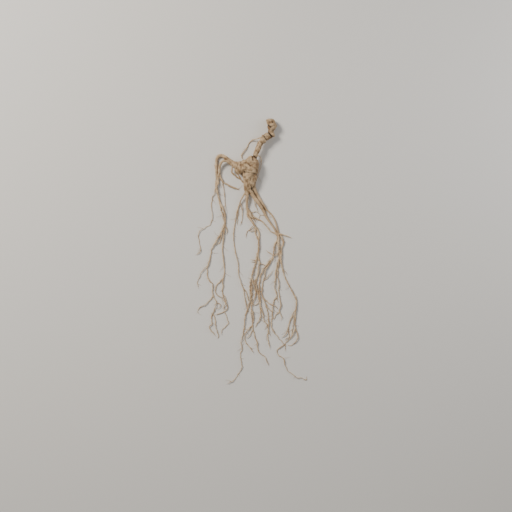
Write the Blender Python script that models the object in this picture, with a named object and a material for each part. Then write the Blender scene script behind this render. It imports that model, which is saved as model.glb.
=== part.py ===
"""A dried ginseng root as it lies on a table: a knobbly neck, a ringed body with one arm, and a spray of
fine roots. It grew as one piece, so it is one solid.

Metres, +Z up. The origin is on the flat spot under the body. +Y runs towards the neck, +X to the right as
seen from above. Routes and radii are in millimetres, read from above, and MM turns them to metres.
"""
import math

import bmesh
import bpy
import numpy as np

NAME = "ginseng_root"
MM = 0.001

# Sizes in millimetres.
THINNEST_RADIUS = 0.42      # no root is modelled thinner than this
THICK_ROOT = 1.1            # roots whose mean radius is over this get 8 sides
SLIM_ROOT = 0.82            # roots whose mean radius is under this get 4 sides, all others 6
SLIM_GAIN = 1.12            # a 4-sided root is this much wider, so that it looks as wide as a round one
TIP_TAPER = 0.6             # width of a root's tip against the width just before it
LONGEST_STRETCH = 7.4       # longest straight stretch of a root
LARGEST_TURN = math.radians(26)     # and the largest bend between two stretches
LIMB_STEP = 1.2             # distance between two rings of the body, the arm and the neck
ROUTE_STEP = 1.0            # distance between the points at which heights are worked out

SIDE_BY_SIDE = 0.85         # roots whose centres are this share of both radii apart don't lift each other
CLIMB = 0.28                # steepest rise of a root over another one
RIPPLE = 0.45               # half the height of the slow waves in a dried root
RIPPLE_LENGTH = 23.0        # length of one such wave
GOLDEN_ANGLE = 2.39996      # turns each root's wave against the last one's
LANDING = 14.0              # length over which a root comes down from where it grows
FORK_CLEARANCE = 7.0        # stretch behind a fork in which a root may still touch its parent
SINK = 0.05                 # how far a root's wave would dip under the table
FLAT_FOOT = 0.14            # skin of a root lower than this is pressed flat onto the table, at height 0

WELD = 0.000001             # in metres: points closer than this are one point

BODY_FLATNESS = 0.80        # height of the body against its width
RING_SPACING = 2.3          # distance between the growth rings on the shoulder
RING_DEPTH = 0.34
KNUCKLE_DEPTH = 0.30
BLOCK = (10.6, 25.4, 8.0)   # the block that cuts the body's flat spot

# Each limb is a list of x, y, z of its centre and its half width, from the body outwards.
TRUNK = (
    (1.7, 15.0, 6.3, 2.4), (1.6, 13.2, 6.1, 4.7), (1.6, 11.2, 5.9, 6.4), (1.5, 8.6, 5.8, 7.5),
    (0.9, 5.0, 5.8, 8.2), (0.2, 1.0, 5.7, 8.3), (-0.2, -2.0, 5.3, 7.7), (0.1, -5.0, 4.8, 7.2),
    (-0.2, -8.0, 4.6, 6.7), (-1.0, -12.0, 4.65, 5.7), (-1.9, -15.5, 3.8, 4.6), (-2.5, -18.5, 3.1, 3.4),
    (-2.7, -21.5, 2.5, 2.0), (-2.8, -25.0, 2.1, 1.2))
ARM = (
    (-2.0, 4.0, 6.0, 5.8), (-8.0, 4.6, 5.8, 6.0), (-11.5, 5.8, 4.8, 4.8), (-14.5, 7.0, 3.9, 3.9),
    (-17.3, 8.6, 3.4, 3.1), (-20.0, 10.1, 3.0, 2.6), (-23.0, 12.1, 2.7, 2.1), (-26.0, 14.6, 2.4, 1.4))
NECK = (
    (3.2, 9.5, 6.4, 3.2), (4.3, 13.0, 6.6, 2.8), (5.6, 16.5, 6.8, 2.6), (7.7, 22.0, 6.9, 2.9),
    (10.0, 27.0, 6.8, 2.85), (12.4, 30.2, 6.7, 3.1), (15.2, 33.0, 6.4, 3.4), (18.0, 35.2, 6.2, 3.7),
    (20.0, 36.9, 6.0, 3.5), (20.6, 39.6, 5.8, 2.7), (21.1, 42.4, 5.6, 3.7), (22.1, 45.2, 5.5, 4.6),
    (21.5, 47.4, 5.5, 4.1), (20.6, 49.8, 5.4, 3.9), (19.9, 51.3, 5.35, 3.8), (19.75, 52.3, 5.3, 3.75))

# Lumps that stand out of the limbs: x, y, z and radii along X, Y and Z.
LUMPS = {
    "shoulder_lobe": (1.2, 10.6, 6.2, 4.7, 5.5, 4.9),
    "armpit_lobe": (-4.6, 7.4, 5.6, 5.0, 4.6, 4.8),
    "arm_low_lobe": (-9.8, 1.2, 5.0, 4.3, 4.4, 4.2),
    "head_right_knob": (24.2, 45.4, 5.6, 2.8, 1.9, 2.8),
    "head_left_knob": (18.9, 44.8, 5.8, 1.8, 2.0, 2.4),
    "head_top_knob": (21.4, 46.8, 7.2, 3.0, 1.9, 2.6),
    "elbow_knob": (21.6, 36.5, 5.6, 2.9, 2.6, 2.9),
    "heel_knob": (17.9, 34.4, 5.2, 3.5, 2.1, 2.8),
    "middle_knob": (12.2, 30.8, 7.3, 2.9, 2.0, 2.5),
    "side_stub": (12.9, 34.4, 6.4, 1.3, 2.3, 1.5),
    "hip_knob": (3.1, -9.5, 4.2, 2.8, 4.4, 3.4),
}
# Bowls left in the neck where each year's stem fell off, and creases between its knuckles: as LUMPS.
SCARS = {
    "scar_end": (19.75, 53.2, 5.5, 2.6, 1.5, 2.3),
    "scar_head": (22.4, 49.3, 8.3, 1.8, 1.6, 1.7),
    "scar_left": (16.7, 46.7, 6.6, 1.3, 1.2, 2.3),
    "scar_crease": (19.8, 37.5, 9.0, 0.6, 3.0, 1.6),
    "scar_knuckle": (15.5, 32.5, 9.2, 0.5, 2.8, 1.5),
    "scar_shank": (8.4, 27.2, 8.4, 1.2, 1.4, 1.3),
}
SCAR_TURN = {"scar_crease": math.radians(41), "scar_knuckle": math.radians(27)}

# Each root: what it grows from, its radii at even steps along it, and its route over the table, x and y.
ROOTS = {
    "right_leg": ("trunk", (2.6, 1.7, 1.6, 1.4, 1.15, 0.8, 0.7, 0.65, 0.7, 0.9), (
        (2.8, -8), (3.9, -13), (4.8, -18), (7.2, -23), (10.2, -28), (13.2, -33), (16.6, -38),
        (18.6, -39.8), (21, -42), (23, -45), (24.8, -48.5), (26, -52), (27, -56), (27.8, -59),
        (28.6, -62.2), (28.8, -64))),
    "middle_leg": ("trunk", (2.4, 2.1, 1.95, 1.8, 1.4, 1.0, 0.78, 0.8), (
        (-1.5, -14), (1.2, -20), (3, -23), (5, -26), (7.5, -29.5), (10, -33), (12.2, -36.5), (14, -40),
        (15.6, -43.8), (17.5, -47), (19.5, -50), (22, -53.5), (24, -56), (25, -58.3), (26, -60.5),
        (27.2, -63))),
    "left_leg": ("trunk", (2.0, 1.2, 1.1, 1.0, 0.9, 0.8, 0.8, 0.8, 0.75, 0.7, 0.65, 0.6, 0.5, 0.4), (
        (-2.7, -19), (-2.9, -25), (-3.1, -30), (-3.1, -34), (-2.7, -38), (-2.5, -42), (-1.8, -44.6),
        (0.4, -47.4), (2.2, -49.8), (4, -52.5), (5.8, -55), (7.5, -57.5), (8.6, -60), (9.1, -63.5),
        (8.6, -67), (8.6, -75), (8.5, -79), (7.9, -82), (8.3, -86), (9.3, -89.5), (9.1, -92), (8.5, -97),
        (7.9, -102), (6.7, -106), (6, -110), (6.6, -115), (7.6, -120), (8.7, -125.5), (9.4, -130),
        (10.8, -135), (12.3, -139.5), (13.4, -143.3), (12.5, -146.5))),
    "neck_root": ("neck", (0.65, 0.5, 0.5, 0.45, 0.4), (
        (12.5, 34.5), (8.5, 33.2), (4.5, 32.3), (1, 30.8), (-1.5, 28), (-3.3, 24), (-6, 20.3),
        (-8.7, 17), (-8.2, 14.5), (-6, 12))),
    "shoulder_root": ("neck", (0.36, 0.32, 0.28), (
        (6, 17), (9.5, 15), (11.4, 12), (11.3, 8), (10.2, 3), (8.8, -2), (7, -6.5))),
    "arm_root": ("arm", (2.4, 1.5, 1.1, 1.1, 0.95, 0.85, 0.7, 0.6, 0.55, 0.55, 0.5, 0.45, 0.4), (
        (-16, 8.5), (-21.5, 11.7), (-25, 14.6), (-28.5, 16.4), (-31.3, 15.6), (-33.2, 13), (-33.7, 8),
        (-33.6, 0), (-33.4, -8), (-33.7, -15), (-32.5, -21), (-30, -30), (-27, -37), (-25, -43),
        (-24.9, -50), (-25.8, -58), (-27, -70), (-27.5, -77), (-26.7, -87), (-25.6, -95), (-25.6, -102),
        (-27.5, -109.5), (-26.9, -114), (-27.6, -118), (-27, -123), (-26.4, -127), (-25, -130),
        (-23, -132.7), (-22.5, -135.5), (-23.2, -137.8), (-25.5, -139.5), (-29, -141.2),
        (-35.5, -142.8))),
    "arm_fork": ("arm", (1.7, 1.35, 1.25, 0.4, 0.32, 0.3, 0.26), (
        (-17, 8), (-23, 10.5), (-27, 10.5), (-29.6, 7), (-30.8, 1), (-30.2, -4), (-28.7, -8),
        (-27.3, -11), (-26.3, -16), (-25.7, -22), (-25, -29), (-24.4, -35), (-24.8, -41))),
    "fork_branch": ("arm_fork", (1.0, 0.9, 0.85, 0.75, 0.5), (
        (-30.5, -2), (-29.3, -6), (-27.7, -9.3), (-25.5, -11), (-22, -13), (-18, -15), (-14, -16.6),
        (-10, -17.8))),
    "arm_fork_twin": ("arm_fork", (0.9, 0.75, 0.7), ((-30.6, 3), (-31.5, -4), (-32, -10), (-33.3, -17))),
    "arm_strand": ("arm_root", (0.5, 0.55, 0.55), (
        (-31, -26), (-30.3, -32), (-29.1, -37), (-27.6, -42), (-26.3, -47), (-25.3, -53))),
    "arm_curl": ("arm", (0.9, 0.65, 0.6, 0.85), (
        (-16, 6.5), (-18.3, 2.2), (-17.2, -1.6), (-14.6, -4.3), (-11.6, -6), (-9, -8), (-6, -12))),
    "arm_curl_inner": ("arm", (0.8, 0.55, 0.6), (
        (-14.5, 5), (-14.7, 1.5), (-13, -1.7), (-11, -4.6), (-8, -7.5))),
    "arm_curl_hook": ("arm", (0.8, 0.55, 0.6), ((-12.5, 4), (-12.2, 0.8), (-10.2, -1.8), (-7, -3.5))),
    "left_wisp": ("arm_root", (0.4, 0.34, 0.3, 0.3, 0.28), (
        (-33.6, -13), (-35.5, -21), (-37.8, -27), (-38.6, -33), (-38, -40), (-37.5, -46), (-38.8, -50.5),
        (-40.8, -53.5), (-45, -56), (-49, -58), (-51.2, -61), (-51.5, -65.5), (-50.4, -71), (-49.5, -76),
        (-49.8, -79.5), (-52, -82), (-55, -83))),
    "left_root": ("arm_root", (1.0, 0.85, 0.65, 0.55, 0.5, 0.5, 0.5, 0.5, 0.45, 0.35), (
        (-25, -51), (-28.5, -60), (-32.5, -67), (-36, -73), (-38.8, -79), (-39.4, -84), (-40.6, -89),
        (-42.3, -94.5), (-42.7, -100), (-42.3, -105), (-40, -109.5), (-37.2, -112.5), (-37.4, -117),
        (-37.6, -120.5), (-36.3, -124.5), (-34.5, -128), (-33.7, -131), (-34.6, -135), (-36.2, -139),
        (-37.8, -142.5), (-38.5, -147.5), (-38, -151.5), (-39.8, -154), (-40.5, -156.3), (-39, -158.8),
        (-36.4, -161), (-34, -164.5))),
    "left_rootlet": ("left_root", (0.5, 0.4, 0.3), (
        (-36.3, -123.5), (-39.5, -127.5), (-42.5, -131), (-46, -133.2), (-49.5, -135.3), (-52, -137.8),
        (-53, -141))),
    "left_link": ("arm_root", (0.5, 0.45, 0.4), (
        (-26, -102), (-27.8, -107), (-30.5, -110.3), (-33, -113), (-34.6, -116.5), (-34.6, -119.5),
        (-33, -122.7), (-30.5, -124.5), (-26.6, -125.5))),
    "left_tail": ("left_root", (0.45, 0.4, 0.3), (
        (-37.6, -141.5), (-35.3, -145), (-34.7, -148.5), (-34.4, -152.5), (-33.7, -157), (-32.4, -161),
        (-31.3, -164.5), (-32.7, -167))),
    "left_thread": ("left_root", (0.34, 0.3, 0.28), (
        (-42, -93), (-44, -95), (-47.5, -99), (-49.5, -102.5), (-50.7, -106), (-52.4, -110),
        (-52.2, -114), (-51, -116.5))),
    "left_loop": ("left_root", (0.5, 0.45, 0.35), (
        (-28, -59), (-28.6, -63), (-29, -68), (-31, -71), (-34, -73))),
    "left_spur": ("arm_root", (0.45, 0.4, 0.35), (
        (-25, -52), (-23.4, -57), (-23.2, -60.5), (-24.2, -63.5))),
    "tail_thread": ("arm_root", (0.4, 0.35, 0.3), (
        (-25.8, -139.4), (-24, -143), (-22.7, -147.5), (-21.6, -151.3), (-24, -154.3), (-27.3, -157.3),
        (-28.7, -160.5), (-28.7, -163.5))),
    "tail_twin": ("arm_root", (0.4, 0.4, 0.35), (
        (-27, -122), (-24.6, -125), (-23.8, -128.5), (-24.8, -132), (-26, -136), (-26.6, -139.5))),
    "left_ringlet": ("left_root", (0.35, 0.3, 0.3), (
        (-33.8, -130.8), (-31, -131), (-29.5, -134), (-31.5, -136.3), (-35, -136.8))),
    "pale_root": ("trunk", (0.9, 0.65, 0.5, 0.45, 0.45, 0.45, 0.45, 0.42, 0.4), (
        (-3.5, -19), (-7.5, -25.5), (-10, -30.5), (-11.7, -35.5), (-13.2, -41), (-14.2, -47),
        (-15.2, -53), (-16, -58), (-16.6, -64), (-16.1, -70), (-15.2, -76), (-14.4, -81), (-13, -87),
        (-11.7, -92), (-11.4, -98), (-11.3, -103), (-9.7, -108), (-8.2, -113), (-6.4, -117),
        (-5.8, -121), (-5.2, -126), (-4.2, -131), (-3, -137))),
    "pale_fork": ("pale_root", (0.45, 0.45, 0.4), (
        (-6.8, -116), (-4.4, -119), (-3, -122), (-2.4, -125.5), (-1.2, -130))),
    "pale_hair": ("pale_root", (0.4, 0.35, 0.3), (
        (-9.8, -30), (-8.2, -37), (-7.5, -42), (-8, -48), (-9, -52), (-10.4, -53.7))),
    "pale_hair_low": ("pale_root", (0.4, 0.35, 0.3), (
        (-12, -36.5), (-12, -43), (-12.6, -49), (-12.6, -54))),
    "left_leg_twin": ("left_leg", (0.6, 0.5, 0.55), (
        (5.2, -54.5), (5.2, -59), (5.8, -63), (7.3, -66.5), (8.6, -70))),
    "cross_root": ("left_leg", (0.8, 0.65, 0.6, 0.6, 0.6, 0.55), (
        (-2.6, -40), (0, -43), (3, -45), (6.5, -46.3), (9, -47.8), (11.5, -49.4), (14, -51.3), (16, -54),
        (18.3, -57), (20.3, -58.8), (22.5, -60.3), (25, -61.7), (27.3, -65))),
    "tangle_a": ("left_leg", (0.55, 0.4, 0.35), (
        (-3.2, -36), (1, -40.5), (3, -43.5), (5.5, -46.5), (6.5, -50.5))),
    "tangle_b": ("left_leg", (0.45, 0.4, 0.35), ((-2.5, -42), (1.6, -46), (4.2, -48), (5.6, -51.5))),
    "tangle_c": ("tangle_a", (0.32, 0.28, 0.28), (
        (1, -40.5), (4.5, -40), (8, -40.3), (9.6, -43.5), (8.4, -47.8))),
    "tangle_d": ("middle_leg", (0.4, 0.3, 0.28), ((15, -43), (12, -43.2), (9.4, -43.4))),
    "tangle_e": ("middle_leg", (0.42, 0.3, 0.26), ((3.4, -25), (4.8, -31), (6.5, -36.5), (8, -40.3))),
    "left_leg_hair": ("left_leg", (0.45, 0.35, 0.3), (
        (5, -52.5), (2.5, -54.5), (0, -57.3), (-2.2, -59.3), (-3.7, -62.5), (-4.5, -66))),
    "left_leg_hook": ("left_leg", (0.4, 0.35, 0.3), (
        (5.6, -54), (3.6, -57.8), (1, -59.6), (-1.2, -58.4))),
    "centre_root": ("left_leg", (0.6, 0.7, 0.7, 0.65, 0.6, 0.55, 0.5, 0.42, 0.36, 0.32, 0.28, 0.25), (
        (8, -78), (6.7, -85), (5.7, -91), (4, -96), (2.5, -101), (1.6, -105.5), (0.5, -109),
        (0.2, -113.5), (0, -118), (0.5, -123), (0.2, -128), (-1.2, -133), (-2.7, -138), (-4.4, -143),
        (-5.3, -148), (-5.6, -154), (-6.4, -158.5), (-7.4, -164), (-8.6, -168), (-9.1, -171.5),
        (-8, -174.5), (-7.8, -177.5), (-9.2, -181), (-9.5, -184), (-8.8, -190), (-8.2, -196),
        (-12, -202.5), (-16.5, -208.5), (-24, -212))),
    "centre_spur": ("centre_root", (0.4, 0.35, 0.3), ((6, -88.5), (3.5, -88.3), (0, -87.3))),
    "centre_spur_low": ("centre_root", (0.4, 0.35, 0.3), ((5.6, -90), (2.8, -90), (0.3, -89.6))),
    "right_spurlet": ("left_leg", (0.4, 0.35, 0.35), (
        (9.2, -91), (12.5, -92), (15.5, -94), (17.2, -96))),
    "centre_root_b": ("centre_root", (0.55, 0.6, 0.6, 0.6, 0.55, 0.45, 0.4, 0.3), (
        (2, -103), (2.3, -108), (2, -113), (1.7, -118), (1.6, -124), (1.6, -130), (1.3, -136),
        (2.5, -140.5), (3.5, -144.5), (3.4, -149), (2, -153), (-0.8, -156.7), (-3.7, -160), (-5.4, -163),
        (-5, -168), (-3.2, -171.8), (-0.4, -175), (2, -178.5), (3.6, -181.5))),
    "centre_root_c": ("centre_root_b", (0.4, 0.4, 0.4), (
        (1.3, -136), (1.3, -142), (1.9, -148), (2.8, -151.5))),
    "lower_tail": ("centre_root_b", (0.6, 0.55, 0.5, 0.4, 0.35, 0.25), (
        (2.8, -151.5), (2.8, -157), (4, -160.5), (4.8, -164.5), (6.2, -168), (7.5, -172), (7.6, -176),
        (8.8, -180), (11.5, -182.3), (14.5, -184.5), (16.3, -187.5), (17.5, -191), (18.7, -194.5))),
    "lower_spur": ("lower_tail", (0.4, 0.3, 0.3), (
        (2.8, -157.5), (1.2, -161), (0.1, -163.3), (-2.5, -165), (-5, -166))),
    "lower_spur_b": ("lower_tail", (0.35, 0.3, 0.3), ((7.4, -171), (6, -172.7), (4.2, -173.3))),
    "centre_link": ("left_leg", (0.5, 0.45, 0.4), (
        (9.4, -129), (10.2, -137), (10.6, -142), (10, -146.5), (8.4, -149.8), (6.2, -153.3),
        (5, -155.8))),
    "centre_cross": ("left_leg", (0.4, 0.4, 0.35), (
        (12.6, -141), (14, -148), (16.4, -152), (18.3, -156))),
    "centre_bend": ("centre_root_b", (0.5, 0.5, 0.4), (
        (2.2, -106.5), (4.5, -114), (5.8, -119), (5.3, -124), (3.5, -129), (1.6, -134))),
    "centre_arc": ("centre_root_b", (0.4, 0.35, 0.35), (
        (1.5, -130.5), (4.7, -133), (7.5, -131.7), (9.4, -128.5))),
    "centre_strand": ("left_leg", (0.45, 0.45, 0.4), ((7, -105), (4.8, -109), (4.1, -114), (5, -119.5))),
    "inner_root": ("middle_leg", (0.75, 0.7, 0.7, 0.75, 0.7, 0.65, 0.6, 0.6, 0.55, 0.45), (
        (27.2, -62), (27.8, -66), (25.6, -70.5), (23.9, -76), (23.7, -81), (22.8, -85), (20.3, -88.5),
        (17.3, -92), (14.3, -96), (12, -100), (10.3, -104.5), (9.7, -109), (9.2, -114), (9.2, -119),
        (9.6, -124), (10.3, -130), (10.9, -136))),
    "outer_root": ("right_leg", (1.0, 1.05, 0.85, 0.62, 0.5, 0.6, 0.75, 0.75, 0.65, 0.55, 0.45, 0.35), (
        (29, -63), (28.6, -68), (28.5, -74), (29.2, -79), (30.2, -84), (31, -89), (31.8, -94), (33, -99),
        (34.5, -104), (36.7, -109), (39, -113.7), (41.7, -118.5), (44.2, -123), (46, -127), (46.6, -131),
        (45.8, -136), (45.3, -141), (45.2, -147), (44.9, -153), (45, -157), (43.5, -161), (41, -165),
        (38.3, -168.7), (35.5, -170.8), (33.2, -173.3))),
    "right_loop": ("right_leg", (0.85, 0.8, 0.8, 0.75, 0.65), (
        (28.8, -60.5), (31.8, -65), (33.2, -69), (32.8, -73), (31.5, -77), (31, -81), (31, -87))),
    "right_stub": ("right_loop", (0.45, 0.35, 0.3), ((31, -78.5), (32.3, -81.5), (33, -84))),
    "right_spur": ("right_leg", (0.65, 0.5, 0.35), (
        (28.6, -61.3), (34, -63), (38, -64.5), (42.5, -66.3))),
    "cross_rootlet": ("outer_root", (0.7, 0.55, 0.45, 0.3), (
        (29, -77.5), (27.8, -81.5), (25.5, -83.7), (22.5, -82.7), (19, -80.6), (15.3, -78))),
    "right_root_a": ("outer_root", (0.6, 0.65, 0.6, 0.55, 0.55, 0.5, 0.5, 0.45, 0.4, 0.35), (
        (30, -81), (28.8, -87), (27.3, -91.5), (26.5, -96), (25.6, -101), (25.5, -106), (25, -110.5),
        (24.4, -115), (25.5, -119), (26.8, -122.5), (26.2, -125.5), (24.3, -128.3), (23.1, -132),
        (22.6, -137), (22.4, -142), (21.9, -147), (21.4, -151.5), (21.9, -156), (24, -160), (27, -163.7),
        (30, -167.5), (32.3, -170), (34, -172.5))),
    "right_root_b": ("outer_root", (0.55, 0.55, 0.5, 0.5, 0.5, 0.45, 0.4), (
        (30.4, -85), (28.6, -91), (28, -96), (27.7, -101), (27.8, -105), (28.6, -109.5), (29, -113),
        (28.6, -117), (29, -121.5), (29.8, -126), (30.5, -131), (30.6, -135.5), (29.2, -139),
        (26.7, -142.5), (24.4, -145.7), (21.9, -148))),
    "inner_root_b": ("inner_root", (0.6, 0.6, 0.55, 0.55, 0.5, 0.5, 0.45, 0.35), (
        (22.8, -84.5), (20.8, -90.5), (17.8, -94), (16, -97.5), (14.8, -101.5), (14.3, -105.5),
        (13.2, -109.5), (12.4, -113.5), (12, -118), (11.6, -121), (12.5, -124.5), (15, -128),
        (18, -130.5), (21.5, -132.5), (25, -134.3), (27.8, -137.5))),
    "inner_root_c": ("inner_root_b", (0.5, 0.5, 0.5, 0.5, 0.45, 0.4, 0.35), (
        (11.8, -121.5), (13.3, -127), (15, -131), (16.5, -135.5), (17.7, -140), (18.4, -145),
        (18.6, -150), (18.4, -155), (18, -160), (17.6, -164), (18.4, -168.5), (19, -172.5),
        (19.9, -177))),
    "leg_web": ("left_leg", (1.2, 1.05, 0.8, 0.5), (
        (-2.4, -35), (-0.8, -40), (1.6, -44.6), (4.2, -48.6))),
    "right_spur_mid": ("right_root_a", (0.42, 0.36, 0.3), (
        (26.3, -124), (27.2, -127.5), (28.2, -130.6))),
    "right_spur_low": ("right_root_b", (0.42, 0.36, 0.32), (
        (29.8, -138), (30.6, -142.5), (31.9, -146), (30.8, -149))),
    "inner_tail": ("inner_root", (0.45, 0.4, 0.35), ((23.7, -82.5), (23.3, -86.5), (22.7, -90.5))),
    "inner_root_d": ("inner_root_c", (0.55, 0.5, 0.5), (
        (14.8, -130.5), (17.3, -134.7), (19.5, -137.7), (22.3, -139.6), (23.6, -140.4))),
    "inner_spur": ("inner_root_c", (0.4, 0.35, 0.3), ((18.3, -157), (19.4, -161), (20.6, -165))),
    "inner_spur_b": ("inner_root_c", (0.4, 0.3, 0.3), ((18.5, -152), (16.5, -154.5), (14.6, -157.8))),
    "inner_thread": ("inner_root_b", (0.4, 0.35, 0.3), (
        (13.6, -108.5), (16.5, -106.5), (19, -103.7), (21.5, -100.7), (23, -97.5))),
    "outer_spur": ("outer_root", (0.4, 0.35, 0.3), ((33, -98), (36, -100.5), (37.8, -103.5))),
    "hook_root": ("outer_root", (0.5, 0.45, 0.35), (
        (44.9, -155), (47, -160.5), (47.8, -164.5), (46.8, -168), (44.5, -171.3), (41.5, -173),
        (37.5, -173.6))),
    "hook_inner": ("outer_root", (0.5, 0.5, 0.45, 0.35), (
        (45.5, -137), (43, -141.5), (41.7, -145), (40, -149), (38.7, -153), (38, -157), (36.7, -160.5),
        (34.5, -163.7), (31.2, -166))),
    "hook_inner_b": ("hook_inner", (0.4, 0.35, 0.3), (
        (38.4, -154), (38.8, -160), (39, -164.5), (36.5, -166.8), (34.6, -170))),
    "hook_strand": ("outer_root", (0.4, 0.35, 0.35), (
        (45.3, -139), (43.8, -146), (43.2, -152), (42.4, -158), (41.4, -164))),
    "far_tail": ("outer_root", (0.45, 0.4, 0.35, 0.35, 0.3, 0.3), (
        (34.2, -172.3), (31, -175), (28, -177), (27, -179.8), (28.5, -183), (31.5, -185), (34, -187.5),
        (34.7, -191.5), (36, -195.5), (38, -198.8), (41.5, -201.5), (44.5, -204), (48, -205.7),
        (52, -206), (55, -208), (56.8, -206.7), (56.7, -203.8))),
    "hook_drop": ("outer_root", (0.4, 0.35, 0.3), ((34.9, -171), (35.4, -176), (35.6, -180))),
}


def clear_scene():
    """Remove every object, so that the script starts from nothing."""
    for item in list(bpy.data.objects):
        bpy.data.objects.remove(item, do_unlink=True)


def make_collection(name):
    """Add an empty collection to the scene."""
    collection = bpy.data.collections.new(name)
    bpy.context.scene.collection.children.link(collection)
    return collection


def smooth_route(points, step):
    """A Catmull-Rom curve through the points, read off at even steps. Extra columns are carried along."""
    points = np.array(points, float)
    ends = np.vstack([2 * points[0] - points[1], points, 2 * points[-1] - points[-2]])
    pieces = []
    for i in range(len(points) - 1):
        before, start, end, after = ends[i:i + 4]
        t = np.linspace(0, 1, 16, endpoint=False)[:, None]
        pieces.append(0.5 * (2 * start + (end - before) * t
                             + (2 * before - 5 * start + 4 * end - after) * t ** 2
                             + (3 * start - before - 3 * end + after) * t ** 3))
    dense = np.vstack(pieces + [points[-1:]])
    run = run_along(dense)
    count = max(3, int(round(run[-1] / step)) + 1)
    marks = np.linspace(0, run[-1], count)
    return np.column_stack([np.interp(marks, run, column) for column in dense.T])


def run_along(path):
    """Distance from the path's start to each of its points, seen from above."""
    hops = np.linalg.norm(np.diff(path[:, :2], axis=0), axis=1)
    return np.concatenate([[0.0], np.cumsum(hops)])


def drape(height, run, climb):
    """The lowest line over all heights that nowhere rises or falls faster than climb."""
    gap = np.abs(run[:, None] - run[None, :])
    return np.max(height[None, :] - climb * gap, axis=1)


def ease(t):
    """0 at 0, 1 at 1, level at both ends."""
    t = np.clip(t, 0, 1)
    return t * t * (3 - 2 * t)


def root_radius(name, share):
    """A root's radius at each share of its length."""
    radii = ROOTS[name][1]
    return np.maximum(np.interp(share, np.linspace(0, 1, len(radii)), radii), THINNEST_RADIUS)


def root_resolution(name):
    """Sides of a root's tube by its mean radius, as bevel resolution: 0 gives 4 sides, 1 gives 6, 2 gives 8."""
    radius = root_radius(name, np.linspace(0, 1, 50)).mean()
    if radius > THICK_ROOT:
        return 2
    return 0 if radius < SLIM_ROOT else 1


def lay_roots(limbs):
    """Lay the roots one after the other: each leaves its parent at the parent's own height, comes down to
    the table and climbs over those laid before it. Gives x, y, z and radius along each root."""
    laid = dict(limbs)
    for index, (name, (parent, _, route)) in enumerate(ROOTS.items()):
        path = smooth_route(route, ROUTE_STEP)
        run = run_along(path)
        radius = root_radius(name, run / run[-1])
        if root_resolution(name) == 0:
            radius *= SLIM_GAIN
        wave = np.sin(2 * math.pi * run / RIPPLE_LENGTH + index * GOLDEN_ANGLE)
        lowest = radius - SINK
        height = lowest + RIPPLE * (1 + wave)
        for other_name, other in laid.items():
            if other_name in limbs:
                continue
            gap = np.linalg.norm(path[:, None, :2] - other[None, :, :2], axis=2)
            reach = radius[:, None] + other[None, :, 3]
            share = gap / (SIDE_BY_SIDE * reach)
            over = other[None, :, 2] + reach * np.sqrt(np.maximum(1 - share ** 2, 0))
            over = np.where(share < 1, over, 0).max(axis=1)
            if other_name == parent:
                over[run < FORK_CLEARANCE] = 0
            height = np.maximum(height, over)
        height = drape(height, run, CLIMB)
        source = laid[parent]
        nearest = np.argmin(np.linalg.norm(source[:, :2] - path[0, :2], axis=1))
        down = ease(run / min(LANDING, 0.6 * run[-1]))
        height = source[nearest, 2] * (1 - down) + height * down
        height = np.maximum(height, lowest)
        laid[name] = np.column_stack([path, height, radius])
    return {name: path for name, path in laid.items() if name not in limbs}


def thin_out(path):
    """Keep the path's ends, and a point wherever it has turned or run on far enough since the last."""
    hops = np.diff(path[:, :2], axis=0)
    lengths = np.linalg.norm(hops, axis=1)
    headings = np.unwrap(np.arctan2(hops[:, 1], hops[:, 0]))
    turns = np.abs(np.diff(headings))
    kept = [0]
    run = lengths[0]
    turn = 0.0
    for index in range(1, len(path) - 1):
        turn += turns[index - 1]
        if turn > LARGEST_TURN or run > LONGEST_STRETCH:
            kept.append(index)
            run = 0.0
            turn = 0.0
        run += lengths[index]
    if run < 0.35 * LONGEST_STRETCH and len(kept) > 2:
        kept.pop()
    return path[kept + [len(path) - 1]]


def tube(name, path, resolution, collection):
    """A closed tube along x, y, z with a radius for each point, made from a curve and welded."""
    curve = bpy.data.curves.new(name + "_curve", "CURVE")
    curve.dimensions = "3D"
    curve.bevel_depth = MM
    curve.bevel_resolution = resolution
    curve.use_fill_caps = True
    spline = curve.splines.new("POLY")
    spline.points.add(len(path) - 1)
    for point, (x, y, z, radius) in zip(spline.points, path):
        point.co = (x * MM, y * MM, z * MM, 1)
        point.radius = radius
    source = bpy.data.objects.new(name + "_curve", curve)
    collection.objects.link(source)
    graph = bpy.context.evaluated_depsgraph_get()
    mesh = bpy.data.meshes.new_from_object(source.evaluated_get(graph))
    piece = bpy.data.objects.new(name, mesh)
    piece.matrix_world = source.matrix_world
    collection.objects.link(piece)
    bpy.data.objects.remove(source, do_unlink=True)
    weld(mesh)
    return piece


def weld(mesh, distance=WELD):
    """Join the caps to the walls, split the faces into triangles and turn them outwards."""
    work = bmesh.new()
    work.from_mesh(mesh)
    bmesh.ops.remove_doubles(work, verts=work.verts, dist=distance)
    bmesh.ops.triangulate(work, faces=work.faces)
    bmesh.ops.recalc_face_normals(work, faces=work.faces)
    work.to_mesh(mesh)
    work.free()


def lump(name, place, collection, turn=0.0, segments=9, rings=7):
    """A ball with its own radius along each axis, turned about +Z."""
    x, y, z, across, along, up = place
    mesh = bpy.data.meshes.new(name)
    work = bmesh.new()
    bmesh.ops.create_uvsphere(work, u_segments=segments, v_segments=rings, radius=MM)
    bmesh.ops.scale(work, vec=(across, along, up), verts=work.verts)
    bmesh.ops.triangulate(work, faces=work.faces)
    work.to_mesh(mesh)
    work.free()
    piece = bpy.data.objects.new(name, mesh)
    piece.location = (x * MM, y * MM, z * MM)
    piece.rotation_euler = (0, 0, turn)
    collection.objects.link(piece)
    return piece


def mesh_points(mesh):
    """All corner points of a mesh, in millimetres."""
    flat = np.empty(3 * len(mesh.vertices))
    mesh.vertices.foreach_get("co", flat)
    return flat.reshape(-1, 3) / MM


def set_mesh_points(mesh, points):
    """Write the corner points back, in metres."""
    mesh.vertices.foreach_set("co", (points * MM).ravel())
    mesh.update()


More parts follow.
